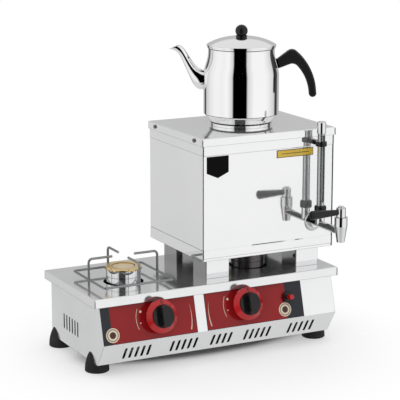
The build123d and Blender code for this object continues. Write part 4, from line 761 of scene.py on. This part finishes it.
dress(black_gloss, "left_knob_grip", "right_knob_grip", "igniter_body")
dress(black_gloss, "gauge_nut", "gauge_clip", "teapot_lid_knob")
dress(red_plastic, "left_knob_skirt", "right_knob_skirt", "igniter_button")
dress(foot_rubber, "corner_feet", "tap_seal")
dress(white_ceramic, "spark_electrode")
dress(clear_glass, "gauge_glass")
print("plastic, rubber and glass done")

# %% [markdown]
# ## Front plates
# Two printed plates cover the leaning front: deep red, with a charcoal band at the outer end, a thin dark
# edge, and a few cream marks. A print has no thickness, so it belongs in the material. It is worked out from
# object coordinates: how far a point lies along the stove, and how far it lies up the leaning panel.

# %% Measures of the print
PLATE_HALF_HEIGHT = 0.0368
PLATE_EDGE = 0.0011
PRINT_GLOSS = 0.28
CHARCOAL = (0.020, 0.022, 0.028, 1)
CREAM = (0.70, 0.60, 0.46, 1)
COCOA = (0.060, 0.028, 0.018, 1)
PLATE_RED = (0.290, 0.010, 0.012)
PLATE_RED_DEEP = (0.235, 0.007, 0.009)
KNOB_RISE = 0.0053
KNOBS = {"left_fascia": -0.13824, "right_fascia": 0.0513}
BANDS = {"left_fascia": 0.0185, "right_fascia": 0.0385}
BURNER_MARKS = {"left_fascia": (-0.2368, -0.0185), "right_fascia": (0.1416, -0.0178)}
BURNER_RINGS = ((0.0140, CREAM), (0.0118, COCOA), (0.0104, CREAM), (0.0066, COCOA))
DIAL_RADIUS = 0.0470
DIAL_LINE = 0.0009
DIAL_LIMIT = 0.0420
DIAL_DOTS = ((0.0385, 159, 0.0024), (0.0385, 192, 0.0014))
SWASHES = {"left_fascia": (-0.1670, 1), "right_fascia": (0.0715, -1)}
SWASH_RADIUS = 0.100
SWASH_SHIFT = (0.0010, -0.0040)
SWASH_HALF = 0.029


def panel_place(tree):
    """Distance along the stove and up its leaning panel, both from the panel's middle."""
    up = math_node(tree, "SUBTRACT", along(tree, PANEL_UP), PANEL_MIDDLE.dot(PANEL_UP))
    return along(tree, X_AXIS), up


def distance_from(tree, place, centre):
    """Distance on the panel from a point of it."""
    across, up = (math_node(tree, "SUBTRACT", value, given) for value, given in zip(place, centre))
    return diagonal(tree, across, up)


print("print measured for", len(KNOBS), "plates")

# %% [markdown]
# The print goes on in layers, as screen printing does: the band, the burner's rings, the dial's arc and dots,
# a slim swash where the plates meet, and the dark edge last, so that it trims whatever reaches it.

# %% Print the front plates
for plate, knob_x in KNOBS.items():
    low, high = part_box(plate)
    finish = new_finish(
        f"{plate}_print",
        PLATE_RED,
        PLATE_RED_DEEP,
        0.0,
        (0.05, 0.09),
        drift=14,
        film_scale=25,
        Specular_IOR_Level=PRINT_GLOSS,
    )
    tree = finish.node_tree
    place = panel_place(tree)
    across, up = place
    band = BANDS[plate]
    band_ends = (low.x, low.x + band) if plate.startswith("left") else (high.x - band, high.x)
    lay_over(finish, within(tree, across, *band_ends), Base_Color=CHARCOAL)
    for radius, colour in BURNER_RINGS:
        disc = within(tree, distance_from(tree, place, BURNER_MARKS[plate]), 0.0, radius)
        lay_over(finish, disc, Base_Color=colour)
    reach = distance_from(tree, place, (knob_x, KNOB_RISE))
    dial = all_of(
        tree,
        within(tree, reach, DIAL_RADIUS - DIAL_LINE, DIAL_RADIUS),
        math_node(tree, "LESS_THAN", across, knob_x - DIAL_LIMIT),
    )
    lay_over(finish, dial, Base_Color=CREAM)
    for arm, bearing, radius in DIAL_DOTS:
        centre = (knob_x + arm * cos(radians(bearing)), KNOB_RISE + arm * sin(radians(bearing)))
        lay_over(finish, within(tree, distance_from(tree, place, centre), 0.0, radius), Base_Color=CREAM)
    swash_x, way = SWASHES[plate]
    shifted = (swash_x + way * SWASH_SHIFT[0], SWASH_SHIFT[1])
    swash = all_of(
        tree,
        math_node(tree, "LESS_THAN", distance_from(tree, place, shifted), SWASH_RADIUS),
        math_node(tree, "GREATER_THAN", distance_from(tree, place, (swash_x, 0.0)), SWASH_RADIUS),
        within(tree, up, -SWASH_HALF, SWASH_HALF),
        math_node(tree, "GREATER_THAN" if way > 0 else "LESS_THAN", across, swash_x),
    )
    lay_over(finish, swash, Base_Color=CREAM)
    height = PLATE_HALF_HEIGHT - PLATE_EDGE
    field = all_of(
        tree,
        within(tree, across, low.x + PLATE_EDGE, high.x - PLATE_EDGE),
        within(tree, up, -height, height),
    )
    lay_over(finish, math_node(tree, "SUBTRACT", 1.0, field), Base_Color=CHARCOAL)
    dress(finish, plate)
print("printed", ", ".join(KNOBS))

# %% [markdown]
# Each knob's skirt carries one dark pointer at the top, where the valve is shut. It is printed on the skirt,
# so it turns with it.

# %% Print the pointers
POINTER_HALF = 0.0016
POINTER_ENDS = (0.0245, 0.0305)
tree = red_plastic.node_tree
across, up = panel_place(tree)
for knob_x in KNOBS.values():
    pointer = all_of(
        tree,
        within(tree, across, knob_x - POINTER_HALF, knob_x + POINTER_HALF),
        within(tree, up, KNOB_RISE + POINTER_ENDS[0], KNOB_RISE + POINTER_ENDS[1]),
    )
    lay_over(red_plastic, pointer, Base_Color=CHARCOAL)
print("pointers on", len(KNOBS), "skirts")

# %% [markdown]
# ## Plates on the boiler
# Two small plates are stuck on the boiler's front: a black one with a pointed foot, and a yellow one beside
# the gauge that marks the highest water level. Each starts as one flat face, which is extruded and bevelled,
# so that its edge catches the light as stamped sheet does.

# %% A plate from its outline
PLATE_THICK = 0.0009
PLATE_ROUND = 0.0003
PLATE_SEGMENTS = 3


def stick_plate(name, outline, front, material):
    """A thin plate on an upright front, from the corners of its outline in X and Z."""
    bm = bmesh.new()
    face = bm.faces.new([bm.verts.new((x, front, z)) for x, z in outline])
    grown = bmesh.ops.extrude_face_region(bm, geom=[face])
    raised = [item for item in grown["geom"] if isinstance(item, bmesh.types.BMVert)]
    bmesh.ops.translate(bm, verts=raised, vec=(0, -PLATE_THICK, 0))
    bmesh.ops.recalc_face_normals(bm, faces=bm.faces)
    rim = [edge for edge in bm.edges if all(vert in raised for vert in edge.verts)]
    bmesh.ops.bevel(
        bm,
        geom=rim,
        offset=PLATE_ROUND,
        offset_type="OFFSET",
        segments=PLATE_SEGMENTS,
        profile=0.5,
        affect="EDGES",
        material=-1,
    )
    mesh = bpy.data.meshes.new(name)
    bm.to_mesh(mesh)
    bm.free()
    piece = bpy.data.objects.new(name, mesh)
    bpy.context.scene.collection.objects.link(piece)
    mesh.materials.append(material)
    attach(piece, "boiler")
    print(name, "with", len(mesh.polygons), "faces")


print("plates are", PLATE_THICK, "m thick")

# %% [markdown]
# Both plates are enamelled. The black one has hardly any gloss, so it stays dark beside the bright steel, and
# the yellow one has a brown edge and one brown line, which lie in the enamel and so come from masks.

# %% Stick the plates on the boiler's front
BAND_STEP = 0.0008
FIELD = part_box("boiler_front")[0].y + BAND_STEP
BADGE = ((-0.0228, 0.4072), (-0.0228, 0.3745), (0.0012, 0.3640), (0.0250, 0.3745), (0.0250, 0.4072))
LEVEL_LOW, LEVEL_HIGH = (0.1330, 0.3915), (0.2165, 0.4070)
LEVEL = (LEVEL_LOW, (LEVEL_HIGH[0], LEVEL_LOW[1]), LEVEL_HIGH, (LEVEL_LOW[0], LEVEL_HIGH[1]))
LEVEL_EDGE = 0.0013
LEVEL_LINE = (0.3986, 0.3999)
LEVEL_DASH = 0.0100
ENAMEL_GLOSS = 0.06
black_enamel = new_finish(
    "black_enamel",
    (0.002, 0.002, 0.002),
    (0.001, 0.001, 0.001),
    0.0,
    (0.12, 0.2),
    film_scale=60,
    Specular_IOR_Level=ENAMEL_GLOSS,
)
yellow_enamel = new_finish(
    "yellow_enamel", (0.66, 0.45, 0.045), (0.58, 0.38, 0.035), 0.0, (0.2, 0.3), drift=60, film_scale=60
)
tree = yellow_enamel.node_tree
across, up = along(tree, X_AXIS), along(tree, Z_AXIS)
field = all_of(
    tree,
    within(tree, across, LEVEL_LOW[0] + LEVEL_EDGE, LEVEL_HIGH[0] - LEVEL_EDGE),
    within(tree, up, LEVEL_LOW[1] + LEVEL_EDGE, LEVEL_HIGH[1] - LEVEL_EDGE),
)
lay_over(yellow_enamel, math_node(tree, "SUBTRACT", 1.0, field), Base_Color=COCOA)
line = all_of(
    tree,
    within(tree, up, *LEVEL_LINE),
    within(tree, across, LEVEL_LOW[0] + LEVEL_DASH, LEVEL_HIGH[0] - LEVEL_DASH),
)
lay_over(yellow_enamel, line, Base_Color=COCOA)
stick_plate("blank_badge", BADGE, FIELD, black_enamel)
stick_plate("level_plate", LEVEL, FIELD, yellow_enamel)

# %% [markdown]
# ## Measure and finish
# The box of the solids and the box of the dressed part are kept side by side, so that anyone can see whether
# the dressing made the object larger.

# %% Measure and finish
size = {
    "cad": [list(corner) for corner in cad_box],
    "visual": [list(corner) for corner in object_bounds()],
}
